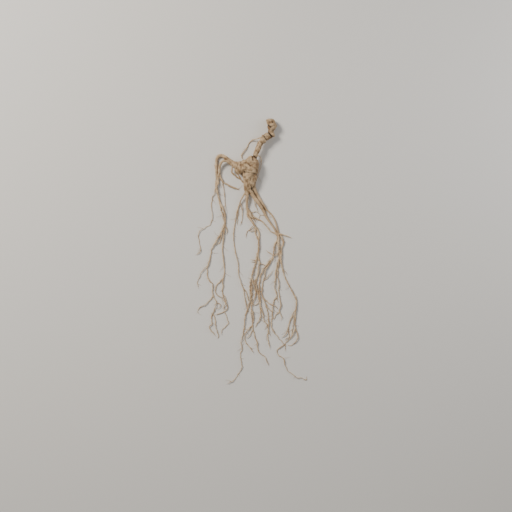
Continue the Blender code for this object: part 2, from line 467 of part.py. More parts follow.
def press_flat(mesh):
    """Press the lowest skin of a root flat onto the table."""
    points = mesh_points(mesh)
    points[points[:, 2] < FLAT_FOOT, 2] = 0
    set_mesh_points(mesh, points)


def shape_limb(piece, path, flatness, relief):
    """Flatten a limb about its centre line and push its skin in or out by the relief's formula, but for the
    underside, which stays plain where it is cut off flat."""
    points = mesh_points(piece.data)
    gap = np.linalg.norm(points[:, None, :] - path[None, :, :3], axis=2)
    centre = path[np.argmin(gap, axis=1), :3]
    arm = points - centre
    arm[:, 2] *= flatness
    reach = np.linalg.norm(arm, axis=1, keepdims=True)
    above = ease((points[:, 2:] + 1) / 2)
    push = np.where(reach > 0.5, relief(points)[:, None] * above, 0)
    set_mesh_points(piece.data, centre + arm * (1 + push / np.maximum(reach, 0.5)))


def body_relief(points):
    """Growth rings round the shoulder, one deep waist crease, and shallow dents from drying."""
    x, y, z = points.T
    across = y + 0.16 * x + 0.5 * np.sin(0.55 * x + 0.4 * z)
    rings = -RING_DEPTH * np.maximum(np.cos(2 * math.pi * across / RING_SPACING), 0) ** 2
    on_shoulder = ease((y - 1.0) / 4.0)
    waist = -0.9 * np.exp(-((across + 1.6) / 1.1) ** 2) * ease((x + 2.5) / 3)
    dents = 0.35 * np.sin(0.75 * x + 1.3) * np.sin(0.62 * y + 0.5 * z)
    return rings * on_shoulder + waist + dents


def arm_relief(points):
    """Shallow dents and ridges across the arm."""
    x, y, z = points.T
    return 0.25 * np.sin(1.6 * x + 0.5 * y) + 0.2 * np.sin(0.9 * y + 0.7 * z)


def neck_relief(points):
    """Ridges across the neck, closer and deeper towards the knuckles."""
    x, y, z = points.T
    along = 0.45 * x + 0.9 * y
    return KNUCKLE_DEPTH * np.sin(2 * math.pi * along / 3.1 + 0.3 * z) + 0.15 * np.sin(1.9 * x - 0.8 * z)


def table_block(collection):
    """What the body stands on: a block under it whose top is at height 0. It cuts the flat spot."""
    mesh = bpy.data.meshes.new("table")
    work = bmesh.new()
    bmesh.ops.create_cube(work, size=1)
    bmesh.ops.scale(work, vec=[MM * size for size in BLOCK], verts=work.verts)
    bmesh.ops.translate(work, vec=(0, 0, -MM * BLOCK[2] / 2), verts=work.verts)
    work.to_mesh(mesh)
    work.free()
    block = bpy.data.objects.new("table", mesh)
    collection.objects.link(block)


def apply_boolean(target, operation, operand, solver):
    """Join or cut with a whole collection, apply it, and remove the collection's objects."""
    modifier = target.modifiers.new("shape", "BOOLEAN")
    modifier.operation = operation
    modifier.operand_type = "COLLECTION"
    modifier.collection = operand
    modifier.solver = solver
    graph = bpy.context.evaluated_depsgraph_get()
    mesh = bpy.data.meshes.new_from_object(target.evaluated_get(graph))
    target.modifiers.remove(modifier)
    target.data = mesh
    for item in list(operand.objects):
        bpy.data.objects.remove(item, do_unlink=True)


def make_material():
    """Dried root skin: pale tan, matt."""
    material = bpy.data.materials.new("dried_root_skin")
    material.use_nodes = True
    shader = material.node_tree.nodes["Principled BSDF"]
    shader.inputs["Base Color"].default_value = (0.52, 0.37, 0.2, 1)
    shader.inputs["Roughness"].default_value = 0.75
    shader.inputs["Metallic"].default_value = 0.0
    return material


def main():
    clear_scene()
    parts = make_collection("ginseng")
    joined = make_collection("ginseng_joined")
    cutters = make_collection("ginseng_cutters")

    limbs = {
        "trunk": smooth_route(TRUNK, LIMB_STEP),
        "arm": smooth_route(ARM, LIMB_STEP),
        "neck": smooth_route(NECK, LIMB_STEP),
    }
    root = tube(NAME, limbs["trunk"], 6, parts)
    shape_limb(root, limbs["trunk"], BODY_FLATNESS, body_relief)
    arm = tube("arm", limbs["arm"], 3, joined)
    shape_limb(arm, limbs["arm"], 0.9, arm_relief)
    neck = tube("neck", limbs["neck"], 4, joined)
    shape_limb(neck, limbs["neck"], 0.95, neck_relief)
    for name, place in LUMPS.items():
        lump(name, place, joined)
    for name, path in lay_roots(limbs).items():
        path[-1, 3] *= TIP_TAPER
        piece = tube(name, thin_out(path), root_resolution(name), joined)
        press_flat(piece.data)
    apply_boolean(root, "UNION", joined, "MANIFOLD")

    for name, place in SCARS.items():
        lump(name, place, cutters, SCAR_TURN.get(name, 0.0), segments=8, rings=6)
    table_block(cutters)
    apply_boolean(root, "DIFFERENCE", cutters, "MANIFOLD")
    weld(root.data)
    root.data.materials.clear()
    root.data.materials.append(make_material())
    root.data.shade_smooth()
    root.data.set_sharp_from_angle(angle=math.radians(50))


main()
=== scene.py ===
"""A dried ginseng root lying on a pale table, seen from straight above.

The body, the arm, the neck and the thick legs are tubes carried along their routes and fused into one skin;
the fine roots are tubes laid on the table one after the other. Lengths are in millimetres until a mesh is
made. The routes are those of the model's own solid, read off at 1 mm to the pixel.
"""
import math

import bpy
import numpy as np
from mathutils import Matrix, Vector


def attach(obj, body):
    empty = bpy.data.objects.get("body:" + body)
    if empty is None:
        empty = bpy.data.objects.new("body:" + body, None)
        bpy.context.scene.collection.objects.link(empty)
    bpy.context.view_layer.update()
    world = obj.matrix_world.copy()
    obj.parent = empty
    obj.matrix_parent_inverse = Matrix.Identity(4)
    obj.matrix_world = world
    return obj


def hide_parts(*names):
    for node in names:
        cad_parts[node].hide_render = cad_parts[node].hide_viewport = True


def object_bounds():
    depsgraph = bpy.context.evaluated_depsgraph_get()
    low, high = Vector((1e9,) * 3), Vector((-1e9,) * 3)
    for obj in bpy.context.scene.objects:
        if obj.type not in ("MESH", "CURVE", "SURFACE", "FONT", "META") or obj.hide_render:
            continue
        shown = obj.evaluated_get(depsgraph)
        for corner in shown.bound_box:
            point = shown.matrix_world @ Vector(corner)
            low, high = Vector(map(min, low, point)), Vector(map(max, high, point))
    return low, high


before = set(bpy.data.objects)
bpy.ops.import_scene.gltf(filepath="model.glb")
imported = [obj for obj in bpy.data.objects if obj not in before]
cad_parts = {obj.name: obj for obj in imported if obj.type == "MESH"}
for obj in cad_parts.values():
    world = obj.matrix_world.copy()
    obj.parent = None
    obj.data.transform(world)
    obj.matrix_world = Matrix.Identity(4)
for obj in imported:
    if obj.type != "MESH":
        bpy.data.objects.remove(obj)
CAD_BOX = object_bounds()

BODY = "root"
NODE = "ginseng_root"
MM = 0.001
TURN = 2 * math.pi
SEED = 7

# How the roots lie.
CLIMB = 0.28                # steepest rise of a root over another one
RIPPLE = 0.45               # half the height of the slow waves in a dried root
RIPPLE_LENGTH = 23.0
GOLDEN_ANGLE = 2.39996      # turns each root's wave against the last one's
LANDING = 14.0              # length over which a root comes down from where it grows
LANDING_SHARE = 0.6         # or this share of its own length, where that is less
FORK_CLEARANCE = 7.0        # stretch behind a fork in which a root may still touch its parent
SINK = 0.05                 # how far a root that touches the table is pressed flat
SIDE_BY_SIDE = 0.85         # roots whose centres are this share of both radii apart don't lift each other
THINNEST_RADIUS = 0.42      # radius at which the model's own solid stops getting thinner

FLATNESS = {"trunk": 0.80, "arm": 0.90, "neck": 0.95}      # height against width; the legs are round
LIMB_STEP = 0.4             # distance between the rings of the limbs' tubes
LIMB_SIDES = 40
ROUTE_STEP = 1.0            # distance between the points of a root while the roots are laid
ROOT_STEP = 0.55            # distance between the rings of a fine root
POLE_SHARE = 0.3            # how far a tube's pole stands out, as a share of its radius
MOST_POLE = 0.2             # and the most that it stands out

# Each limb is a list of x, y, z of its centre and its half width, from the body outwards.
TRUNK = (
    (1.7, 15.0, 6.3, 2.4), (1.6, 13.2, 6.1, 4.7), (1.6, 11.2, 5.9, 6.4), (1.5, 8.6, 5.8, 7.5),
    (0.9, 5.0, 5.8, 8.2), (0.2, 1.0, 5.7, 8.3), (-0.2, -2.0, 5.3, 7.7), (0.1, -5.0, 4.8, 7.2),
    (-0.2, -8.0, 4.6, 6.7), (-1.0, -12.0, 4.65, 5.7), (-1.9, -15.5, 3.8, 4.6), (-2.5, -18.5, 3.1, 3.4),
    (-2.7, -21.5, 2.5, 2.0), (-2.8, -25.0, 2.1, 1.2))
ARM = (
    (-2.0, 4.0, 6.0, 5.8), (-8.0, 4.6, 5.8, 6.0), (-11.5, 5.8, 4.8, 4.8), (-14.5, 7.0, 3.9, 3.9),
    (-17.3, 8.6, 3.4, 3.1), (-20.0, 10.1, 3.0, 2.6), (-23.0, 12.1, 2.7, 2.1), (-26.0, 14.6, 2.4, 1.4))
NECK = (
    (3.2, 9.5, 6.4, 3.2), (4.3, 13.0, 6.6, 2.8), (5.6, 16.5, 6.8, 2.6), (7.7, 22.0, 6.9, 2.9),
    (10.0, 27.0, 6.8, 2.85), (12.4, 30.2, 6.7, 3.1), (15.2, 33.0, 6.4, 3.4), (18.0, 35.2, 6.2, 3.7),
    (20.0, 36.9, 6.0, 3.5), (20.6, 39.6, 5.8, 2.7), (21.1, 42.4, 5.6, 3.7), (22.1, 45.2, 5.5, 4.6),
    (21.5, 47.4, 5.5, 4.1), (20.6, 49.8, 5.4, 3.9), (19.9, 51.3, 5.35, 3.8), (19.75, 52.3, 5.3, 3.75))

# Lumps: x, y, z and radii along X, Y and Z.
LUMPS = {
    "shoulder_lobe": (1.2, 10.6, 6.2, 4.7, 5.5, 4.9),
    "armpit_lobe": (-4.6, 7.4, 5.6, 5.0, 4.6, 4.8),
    "arm_low_lobe": (-9.8, 1.2, 5.0, 4.3, 4.4, 4.2),
    "head_right_knob": (24.2, 45.4, 5.6, 2.8, 1.9, 2.8),
    "head_left_knob": (18.9, 44.8, 5.8, 1.8, 2.0, 2.4),
    "head_top_knob": (21.4, 46.8, 7.2, 3.0, 1.9, 2.6),
    "elbow_knob": (21.6, 36.5, 5.6, 2.9, 2.6, 2.9),
    "heel_knob": (17.9, 34.4, 5.2, 3.5, 2.1, 2.8),
    "middle_knob": (12.2, 30.8, 7.3, 2.9, 2.0, 2.5),
    "side_stub": (12.9, 34.4, 6.4, 1.3, 2.3, 1.5),
    "hip_knob": (3.1, -9.5, 4.2, 2.8, 4.4, 3.4),
    "fork_web": (2.7, -15.4, 3.9, 1.5, 2.6, 1.5),
}

# Each root: what it grows from, its radii at even steps along it, and its route over the table, x and y.
ROOTS = {
    "right_leg": ("trunk", (2.6, 1.7, 1.6, 1.4, 1.15, 0.8, 0.7, 0.65, 0.7, 0.9), (
        (2.8, -8), (3.9, -13), (4.8, -18), (7.2, -23), (10.2, -28), (13.2, -33), (16.6, -38),
        (18.6, -39.8), (21, -42), (23, -45), (24.8, -48.5), (26, -52), (27, -56), (27.8, -59),
        (28.6, -62.2), (28.8, -64))),
    "middle_leg": ("trunk", (2.4, 2.1, 1.95, 1.8, 1.4, 1.0, 0.78, 0.8), (
        (-1.5, -14), (1.2, -20), (3, -23), (5, -26), (7.5, -29.5), (10, -33), (12.2, -36.5), (14, -40),
        (15.6, -43.8), (17.5, -47), (19.5, -50), (22, -53.5), (24, -56), (25, -58.3), (26, -60.5),
        (27.2, -63))),
    "left_leg": ("trunk", (2.0, 1.2, 1.1, 1.0, 0.9, 0.8, 0.8, 0.8, 0.75, 0.7, 0.65, 0.6, 0.5, 0.4), (
        (-2.7, -19), (-2.9, -25), (-3.1, -30), (-3.1, -34), (-2.7, -38), (-2.5, -42), (-1.8, -44.6),
        (0.4, -47.4), (2.2, -49.8), (4, -52.5), (5.8, -55), (7.5, -57.5), (8.6, -60), (9.1, -63.5),
        (8.6, -67), (8.6, -75), (8.5, -79), (7.9, -82), (8.3, -86), (9.3, -89.5), (9.1, -92), (8.5, -97),
        (7.9, -102), (6.7, -106), (6, -110), (6.6, -115), (7.6, -120), (8.7, -125.5), (9.4, -130),
        (10.8, -135), (12.3, -139.5), (13.4, -143.3), (12.5, -146.5))),
    "neck_root": ("neck", (0.65, 0.5, 0.5, 0.45, 0.4), (
        (12.5, 34.5), (8.5, 33.2), (4.5, 32.3), (1, 30.8), (-1.5, 28), (-3.3, 24), (-6, 20.3),
        (-8.7, 17), (-8.2, 14.5), (-6, 12))),
    "shoulder_root": ("neck", (0.36, 0.32, 0.28), (
        (6, 17), (9.5, 15), (11.4, 12), (11.3, 8), (10.2, 3), (8.8, -2), (7, -6.5))),
    "arm_root": ("arm", (2.4, 1.5, 1.1, 1.1, 0.95, 0.85, 0.7, 0.6, 0.55, 0.55, 0.5, 0.45, 0.4), (
        (-16, 8.5), (-21.5, 11.7), (-25, 14.6), (-28.5, 16.4), (-31.3, 15.6), (-33.2, 13), (-33.7, 8),
        (-33.6, 0), (-33.4, -8), (-33.7, -15), (-32.5, -21), (-30, -30), (-27, -37), (-25, -43),
        (-24.9, -50), (-25.8, -58), (-27, -70), (-27.5, -77), (-26.7, -87), (-25.6, -95), (-25.6, -102),
        (-27.5, -109.5), (-26.9, -114), (-27.6, -118), (-27, -123), (-26.4, -127), (-25, -130),
        (-23, -132.7), (-22.5, -135.5), (-23.2, -137.8), (-25.5, -139.5), (-29, -141.2),
        (-35.5, -142.8))),
    "arm_fork": ("arm", (1.7, 1.35, 1.25, 0.4, 0.32, 0.3, 0.26), (
        (-17, 8), (-23, 10.5), (-27, 10.5), (-29.6, 7), (-30.8, 1), (-30.2, -4), (-28.7, -8),
        (-27.3, -11), (-26.3, -16), (-25.7, -22), (-25, -29), (-24.4, -35), (-24.8, -41))),
    "fork_branch": ("arm_fork", (1.0, 0.9, 0.85, 0.75, 0.5), (
        (-30.5, -2), (-29.3, -6), (-27.7, -9.3), (-25.5, -11), (-22, -13), (-18, -15), (-14, -16.6),
        (-10, -17.8))),
    "arm_fork_twin": ("arm_fork", (0.9, 0.75, 0.7), ((-30.6, 3), (-31.5, -4), (-32, -10), (-33.3, -17))),
    "arm_strand": ("arm_root", (0.5, 0.55, 0.55), (
        (-31, -26), (-30.3, -32), (-29.1, -37), (-27.6, -42), (-26.3, -47), (-25.3, -53))),
    "arm_curl": ("arm", (0.9, 0.65, 0.6, 0.85), (
        (-16, 6.5), (-18.3, 2.2), (-17.2, -1.6), (-14.6, -4.3), (-11.6, -6), (-9, -8), (-6, -12))),
    "arm_curl_inner": ("arm", (0.8, 0.55, 0.6), (
        (-14.5, 5), (-14.7, 1.5), (-13, -1.7), (-11, -4.6), (-8, -7.5))),
    "arm_curl_hook": ("arm", (0.8, 0.55, 0.6), ((-12.5, 4), (-12.2, 0.8), (-10.2, -1.8), (-7, -3.5))),
    "left_wisp": ("arm_root", (0.4, 0.34, 0.3, 0.3, 0.28), (
        (-33.6, -13), (-35.5, -21), (-37.8, -27), (-38.6, -33), (-38, -40), (-37.5, -46), (-38.8, -50.5),
        (-40.8, -53.5), (-45, -56), (-49, -58), (-51.2, -61), (-51.5, -65.5), (-50.4, -71), (-49.5, -76),
        (-49.8, -79.5), (-52, -82), (-55, -83))),
    "left_root": ("arm_root", (1.0, 0.85, 0.65, 0.55, 0.5, 0.5, 0.5, 0.5, 0.45, 0.35), (
        (-25, -51), (-28.5, -60), (-32.5, -67), (-36, -73), (-38.8, -79), (-39.4, -84), (-40.6, -89),
        (-42.3, -94.5), (-42.7, -100), (-42.3, -105), (-40, -109.5), (-37.2, -112.5), (-37.4, -117),
        (-37.6, -120.5), (-36.3, -124.5), (-34.5, -128), (-33.7, -131), (-34.6, -135), (-36.2, -139),
        (-37.8, -142.5), (-38.5, -147.5), (-38, -151.5), (-39.8, -154), (-40.5, -156.3), (-39, -158.8),
        (-36.4, -161), (-34, -164.5))),
    "left_rootlet": ("left_root", (0.5, 0.4, 0.3), (
        (-36.3, -123.5), (-39.5, -127.5), (-42.5, -131), (-46, -133.2), (-49.5, -135.3), (-52, -137.8),
        (-53, -141))),
    "left_link": ("arm_root", (0.5, 0.45, 0.4), (
        (-26, -102), (-27.8, -107), (-30.5, -110.3), (-33, -113), (-34.6, -116.5), (-34.6, -119.5),
        (-33, -122.7), (-30.5, -124.5), (-26.6, -125.5))),
    "left_tail": ("left_root", (0.45, 0.4, 0.3), (
        (-37.6, -141.5), (-35.3, -145), (-34.7, -148.5), (-34.4, -152.5), (-33.7, -157), (-32.4, -161),
        (-31.3, -164.5), (-32.7, -167))),
    "left_thread": ("left_root", (0.34, 0.3, 0.28), (
        (-42, -93), (-44, -95), (-47.5, -99), (-49.5, -102.5), (-50.7, -106), (-52.4, -110),
        (-52.2, -114), (-51, -116.5))),
    "left_loop": ("left_root", (0.5, 0.45, 0.35), (
        (-28, -59), (-28.6, -63), (-29, -68), (-31, -71), (-34, -73))),
    "left_spur": ("arm_root", (0.45, 0.4, 0.35), (
        (-25, -52), (-23.4, -57), (-23.2, -60.5), (-24.2, -63.5))),
    "tail_thread": ("arm_root", (0.4, 0.35, 0.3), (
        (-25.8, -139.4), (-24, -143), (-22.7, -147.5), (-21.6, -151.3), (-24, -154.3), (-27.3, -157.3),
        (-28.7, -160.5), (-28.7, -163.5))),
    "tail_twin": ("arm_root", (0.4, 0.4, 0.35), (
        (-27, -122), (-24.6, -125), (-23.8, -128.5), (-24.8, -132), (-26, -136), (-26.6, -139.5))),
    "left_ringlet": ("left_root", (0.35, 0.3, 0.3), (
        (-33.8, -130.8), (-31, -131), (-29.5, -134), (-31.5, -136.3), (-35, -136.8))),
    "pale_root": ("trunk", (0.9, 0.65, 0.5, 0.45, 0.45, 0.45, 0.45, 0.42, 0.4), (
        (-3.5, -19), (-7.5, -25.5), (-10, -30.5), (-11.7, -35.5), (-13.2, -41), (-14.2, -47),
        (-15.2, -53), (-16, -58), (-16.6, -64), (-16.1, -70), (-15.2, -76), (-14.4, -81), (-13, -87),
        (-11.7, -92), (-11.4, -98), (-11.3, -103), (-9.7, -108), (-8.2, -113), (-6.4, -117),
        (-5.8, -121), (-5.2, -126), (-4.2, -131), (-3, -137))),
    "pale_fork": ("pale_root", (0.45, 0.45, 0.4), (
        (-6.8, -116), (-4.4, -119), (-3, -122), (-2.4, -125.5), (-1.2, -130))),
    "pale_hair": ("pale_root", (0.4, 0.35, 0.3), (
        (-9.8, -30), (-8.2, -37), (-7.5, -42), (-8, -48), (-9, -52), (-10.4, -53.7))),
    "pale_hair_low": ("pale_root", (0.4, 0.35, 0.3), (
        (-12, -36.5), (-12, -43), (-12.6, -49), (-12.6, -54))),
    "left_leg_twin": ("left_leg", (0.6, 0.5, 0.55), (
        (5.2, -54.5), (5.2, -59), (5.8, -63), (7.3, -66.5), (8.6, -70))),
    "cross_root": ("left_leg", (0.8, 0.65, 0.6, 0.6, 0.6, 0.55), (
        (-2.6, -40), (0, -43), (3, -45), (6.5, -46.3), (9, -47.8), (11.5, -49.4), (14, -51.3), (16, -54),
        (18.3, -57), (20.3, -58.8), (22.5, -60.3), (25, -61.7), (27.3, -65))),
    "tangle_a": ("left_leg", (0.55, 0.4, 0.35), (
        (-3.2, -36), (1, -40.5), (3, -43.5), (5.5, -46.5), (6.5, -50.5))),
    "tangle_b": ("left_leg", (0.45, 0.4, 0.35), ((-2.5, -42), (1.6, -46), (4.2, -48), (5.6, -51.5))),
    "tangle_c": ("tangle_a", (0.32, 0.28, 0.28), (
        (1, -40.5), (4.5, -40), (8, -40.3), (9.6, -43.5), (8.4, -47.8))),
    "tangle_d": ("middle_leg", (0.4, 0.3, 0.28), ((15, -43), (12, -43.2), (9.4, -43.4))),
    "tangle_e": ("middle_leg", (0.42, 0.3, 0.26), ((3.4, -25), (4.8, -31), (6.5, -36.5), (8, -40.3))),
    "left_leg_hair": ("left_leg", (0.45, 0.35, 0.3), (
        (5, -52.5), (2.5, -54.5), (0, -57.3), (-2.2, -59.3), (-3.7, -62.5), (-4.5, -66))),
    "left_leg_hook": ("left_leg", (0.4, 0.35, 0.3), (
        (5.6, -54), (3.6, -57.8), (1, -59.6), (-1.2, -58.4))),
    "centre_root": ("left_leg", (0.6, 0.7, 0.7, 0.65, 0.6, 0.55, 0.5, 0.42, 0.36, 0.32, 0.28, 0.25), (
        (8, -78), (6.7, -85), (5.7, -91), (4, -96), (2.5, -101), (1.6, -105.5), (0.5, -109),
        (0.2, -113.5), (0, -118), (0.5, -123), (0.2, -128), (-1.2, -133), (-2.7, -138), (-4.4, -143),
        (-5.3, -148), (-5.6, -154), (-6.4, -158.5), (-7.4, -164), (-8.6, -168), (-9.1, -171.5),
        (-8, -174.5), (-7.8, -177.5), (-9.2, -181), (-9.5, -184), (-8.8, -190), (-8.2, -196),
        (-12, -202.5), (-16.5, -208.5), (-24, -212))),
    "centre_spur": ("centre_root", (0.4, 0.35, 0.3), ((6, -88.5), (3.5, -88.3), (0, -87.3))),
    "centre_spur_low": ("centre_root", (0.4, 0.35, 0.3), ((5.6, -90), (2.8, -90), (0.3, -89.6))),
    "right_spurlet": ("left_leg", (0.4, 0.35, 0.35), (
        (9.2, -91), (12.5, -92), (15.5, -94), (17.2, -96))),
    "centre_root_b": ("centre_root", (0.55, 0.6, 0.6, 0.6, 0.55, 0.45, 0.4, 0.3), (
        (2, -103), (2.3, -108), (2, -113), (1.7, -118), (1.6, -124), (1.6, -130), (1.3, -136),
        (2.5, -140.5), (3.5, -144.5), (3.4, -149), (2, -153), (-0.8, -156.7), (-3.7, -160), (-5.4, -163),
        (-5, -168), (-3.2, -171.8), (-0.4, -175), (2, -178.5), (3.6, -181.5))),
    "centre_root_c": ("centre_root_b", (0.4, 0.4, 0.4), (
        (1.3, -136), (1.3, -142), (1.9, -148), (2.8, -151.5))),
    "lower_tail": ("centre_root_b", (0.6, 0.55, 0.5, 0.4, 0.35, 0.25), (
        (2.8, -151.5), (2.8, -157), (4, -160.5), (4.8, -164.5), (6.2, -168), (7.5, -172), (7.6, -176),
        (8.8, -180), (11.5, -182.3), (14.5, -184.5), (16.3, -187.5), (17.5, -191), (18.7, -194.5))),
    "lower_spur": ("lower_tail", (0.4, 0.3, 0.3), (
        (2.8, -157.5), (1.2, -161), (0.1, -163.3), (-2.5, -165), (-5, -166))),
    "lower_spur_b": ("lower_tail", (0.35, 0.3, 0.3), ((7.4, -171), (6, -172.7), (4.2, -173.3))),
    "centre_link": ("left_leg", (0.5, 0.45, 0.4), (
        (9.4, -129), (10.2, -137), (10.6, -142), (10, -146.5), (8.4, -149.8), (6.2, -153.3),
        (5, -155.8))),
    "centre_cross": ("left_leg", (0.4, 0.4, 0.35), (
        (12.6, -141), (14, -148), (16.4, -152), (18.3, -156))),
    "centre_bend": ("centre_root_b", (0.5, 0.5, 0.4), (
        (2.2, -106.5), (4.5, -114), (5.8, -119), (5.3, -124), (3.5, -129), (1.6, -134))),
    "centre_arc": ("centre_root_b", (0.4, 0.35, 0.35), (
        (1.5, -130.5), (4.7, -133), (7.5, -131.7), (9.4, -128.5))),
    "centre_strand": ("left_leg", (0.45, 0.45, 0.4), ((7, -105), (4.8, -109), (4.1, -114), (5, -119.5))),
    "inner_root": ("middle_leg", (0.75, 0.7, 0.7, 0.75, 0.7, 0.65, 0.6, 0.6, 0.55, 0.45), (
        (27.2, -62), (27.8, -66), (25.6, -70.5), (23.9, -76), (23.7, -81), (22.8, -85), (20.3, -88.5),
        (17.3, -92), (14.3, -96), (12, -100), (10.3, -104.5), (9.7, -109), (9.2, -114), (9.2, -119),
        (9.6, -124), (10.3, -130), (10.9, -136))),
    "outer_root": ("right_leg", (1.0, 1.05, 0.85, 0.62, 0.5, 0.6, 0.75, 0.75, 0.65, 0.55, 0.45, 0.35), (
        (29, -63), (28.6, -68), (28.5, -74), (29.2, -79), (30.2, -84), (31, -89), (31.8, -94), (33, -99),
        (34.5, -104), (36.7, -109), (39, -113.7), (41.7, -118.5), (44.2, -123), (46, -127), (46.6, -131),
        (45.8, -136), (45.3, -141), (45.2, -147), (44.9, -153), (45, -157), (43.5, -161), (41, -165),
        (38.3, -168.7), (35.5, -170.8), (33.2, -173.3))),
    "right_loop": ("right_leg", (0.85, 0.8, 0.8, 0.75, 0.65), (
        (28.8, -60.5), (31.8, -65), (33.2, -69), (32.8, -73), (31.5, -77), (31, -81), (31, -87))),
    "right_stub": ("right_loop", (0.45, 0.35, 0.3), ((31, -78.5), (32.3, -81.5), (33, -84))),
    "right_spur": ("right_leg", (0.65, 0.5, 0.35), (
        (28.6, -61.3), (34, -63), (38, -64.5), (42.5, -66.3))),
    "cross_rootlet": ("outer_root", (0.7, 0.55, 0.45, 0.3), (
        (29, -77.5), (27.8, -81.5), (25.5, -83.7), (22.5, -82.7), (19, -80.6), (15.3, -78))),
    "right_root_a": ("outer_root", (0.6, 0.65, 0.6, 0.55, 0.55, 0.5, 0.5, 0.45, 0.4, 0.35), (
        (30, -81), (28.8, -87), (27.3, -91.5), (26.5, -96), (25.6, -101), (25.5, -106), (25, -110.5),
        (24.4, -115), (25.5, -119), (26.8, -122.5), (26.2, -125.5), (24.3, -128.3), (23.1, -132),
        (22.6, -137), (22.4, -142), (21.9, -147), (21.4, -151.5), (21.9, -156), (24, -160), (27, -163.7),
        (30, -167.5), (32.3, -170), (34, -172.5))),
    "right_root_b": ("outer_root", (0.55, 0.55, 0.5, 0.5, 0.5, 0.45, 0.4), (
        (30.4, -85), (28.6, -91), (28, -96), (27.7, -101), (27.8, -105), (28.6, -109.5), (29, -113),
        (28.6, -117), (29, -121.5), (29.8, -126), (30.5, -131), (30.6, -135.5), (29.2, -139),
        (26.7, -142.5), (24.4, -145.7), (21.9, -148))),
    "inner_root_b": ("inner_root", (0.6, 0.6, 0.55, 0.55, 0.5, 0.5, 0.45, 0.35), (
        (22.8, -84.5), (20.8, -90.5), (17.8, -94), (16, -97.5), (14.8, -101.5), (14.3, -105.5),
        (13.2, -109.5), (12.4, -113.5), (12, -118), (11.6, -121), (12.5, -124.5), (15, -128),
        (18, -130.5), (21.5, -132.5), (25, -134.3), (27.8, -137.5))),
    "inner_root_c": ("inner_root_b", (0.5, 0.5, 0.5, 0.5, 0.45, 0.4, 0.35), (
        (11.8, -121.5), (13.3, -127), (15, -131), (16.5, -135.5), (17.7, -140), (18.4, -145),
        (18.6, -150), (18.4, -155), (18, -160), (17.6, -164), (18.4, -168.5), (19, -172.5),
        (19.9, -177))),
    "leg_web": ("left_leg", (1.2, 1.05, 0.8, 0.5), (
        (-2.4, -35), (-0.8, -40), (1.6, -44.6), (4.2, -48.6))),
    "right_spur_mid": ("right_root_a", (0.42, 0.36, 0.3), (
        (26.3, -124), (27.2, -127.5), (28.2, -130.6))),
    "right_spur_low": ("right_root_b", (0.42, 0.36, 0.32), (
        (29.8, -138), (30.6, -142.5), (31.9, -146), (30.8, -149))),
    "inner_tail": ("inner_root", (0.45, 0.4, 0.35), ((23.7, -82.5), (23.3, -86.5), (22.7, -90.5))),
    "inner_root_d": ("inner_root_c", (0.55, 0.5, 0.5), (
        (14.8, -130.5), (17.3, -134.7), (19.5, -137.7), (22.3, -139.6), (23.6, -140.4))),
    "inner_spur": ("inner_root_c", (0.4, 0.35, 0.3), ((18.3, -157), (19.4, -161), (20.6, -165))),
    "inner_spur_b": ("inner_root_c", (0.4, 0.3, 0.3), ((18.5, -152), (16.5, -154.5), (14.6, -157.8))),
    "inner_thread": ("inner_root_b", (0.4, 0.35, 0.3), (
        (13.6, -108.5), (16.5, -106.5), (19, -103.7), (21.5, -100.7), (23, -97.5))),
    "outer_spur": ("outer_root", (0.4, 0.35, 0.3), ((33, -98), (36, -100.5), (37.8, -103.5))),
    "hook_root": ("outer_root", (0.5, 0.45, 0.35), (
        (44.9, -155), (47, -160.5), (47.8, -164.5), (46.8, -168), (44.5, -171.3), (41.5, -173),
        (37.5, -173.6))),
    "hook_inner": ("outer_root", (0.5, 0.5, 0.45, 0.35), (
        (45.5, -137), (43, -141.5), (41.7, -145), (40, -149), (38.7, -153), (38, -157), (36.7, -160.5),
        (34.5, -163.7), (31.2, -166))),
    "hook_inner_b": ("hook_inner", (0.4, 0.35, 0.3), (
        (38.4, -154), (38.8, -160), (39, -164.5), (36.5, -166.8), (34.6, -170))),
    "hook_strand": ("outer_root", (0.4, 0.35, 0.35), (
        (45.3, -139), (43.8, -146), (43.2, -152), (42.4, -158), (41.4, -164))),
    "far_tail": ("outer_root", (0.45, 0.4, 0.35, 0.35, 0.3, 0.3), (
        (34.2, -172.3), (31, -175), (28, -177), (27, -179.8), (28.5, -183), (31.5, -185), (34, -187.5),
        (34.7, -191.5), (36, -195.5), (38, -198.8), (41.5, -201.5), (44.5, -204), (48, -205.7),
        (52, -206), (55, -208), (56.8, -206.7), (56.7, -203.8))),
    "hook_drop": ("outer_root", (0.4, 0.35, 0.3), ((34.9, -171), (35.4, -176), (35.6, -180))),
}


# The tools that all shapes share.

def ease(t):
    """0 at 0, 1 at 1, level at both ends: 3t^2 - 2t^3."""
    t = np.clip(t, 0, 1)
    return t * t * (3 - 2 * t)


def bell(distance, width):
    """1 at distance 0, falling off like exp(-(distance / width)^2)."""
    return np.exp(-(distance / width) ** 2)


def unit(vectors, least=1e-9):
    """Each row scaled to length 1, or divided by least where it is shorter than that."""
    return vectors / np.maximum(np.linalg.norm(vectors, axis=1, keepdims=True), least)


def no_relief(run, angle):
    """A plain, smooth tube."""
    return np.zeros(np.broadcast(run, angle).shape)


def run_along(path):
    """Distance from the path's start to each of its points, seen from above."""
    hops = np.linalg.norm(np.diff(path[:, :2], axis=0), axis=1)
    return np.concatenate([[0.0], np.cumsum(hops)])


def even_steps(path, step):
    """The path read off at even steps, with all its columns."""
    run = run_along(path)
    marks = np.linspace(0, run[-1], max(3, int(round(run[-1] / step)) + 1))
    return np.column_stack([np.interp(marks, run, column) for column in path.T])


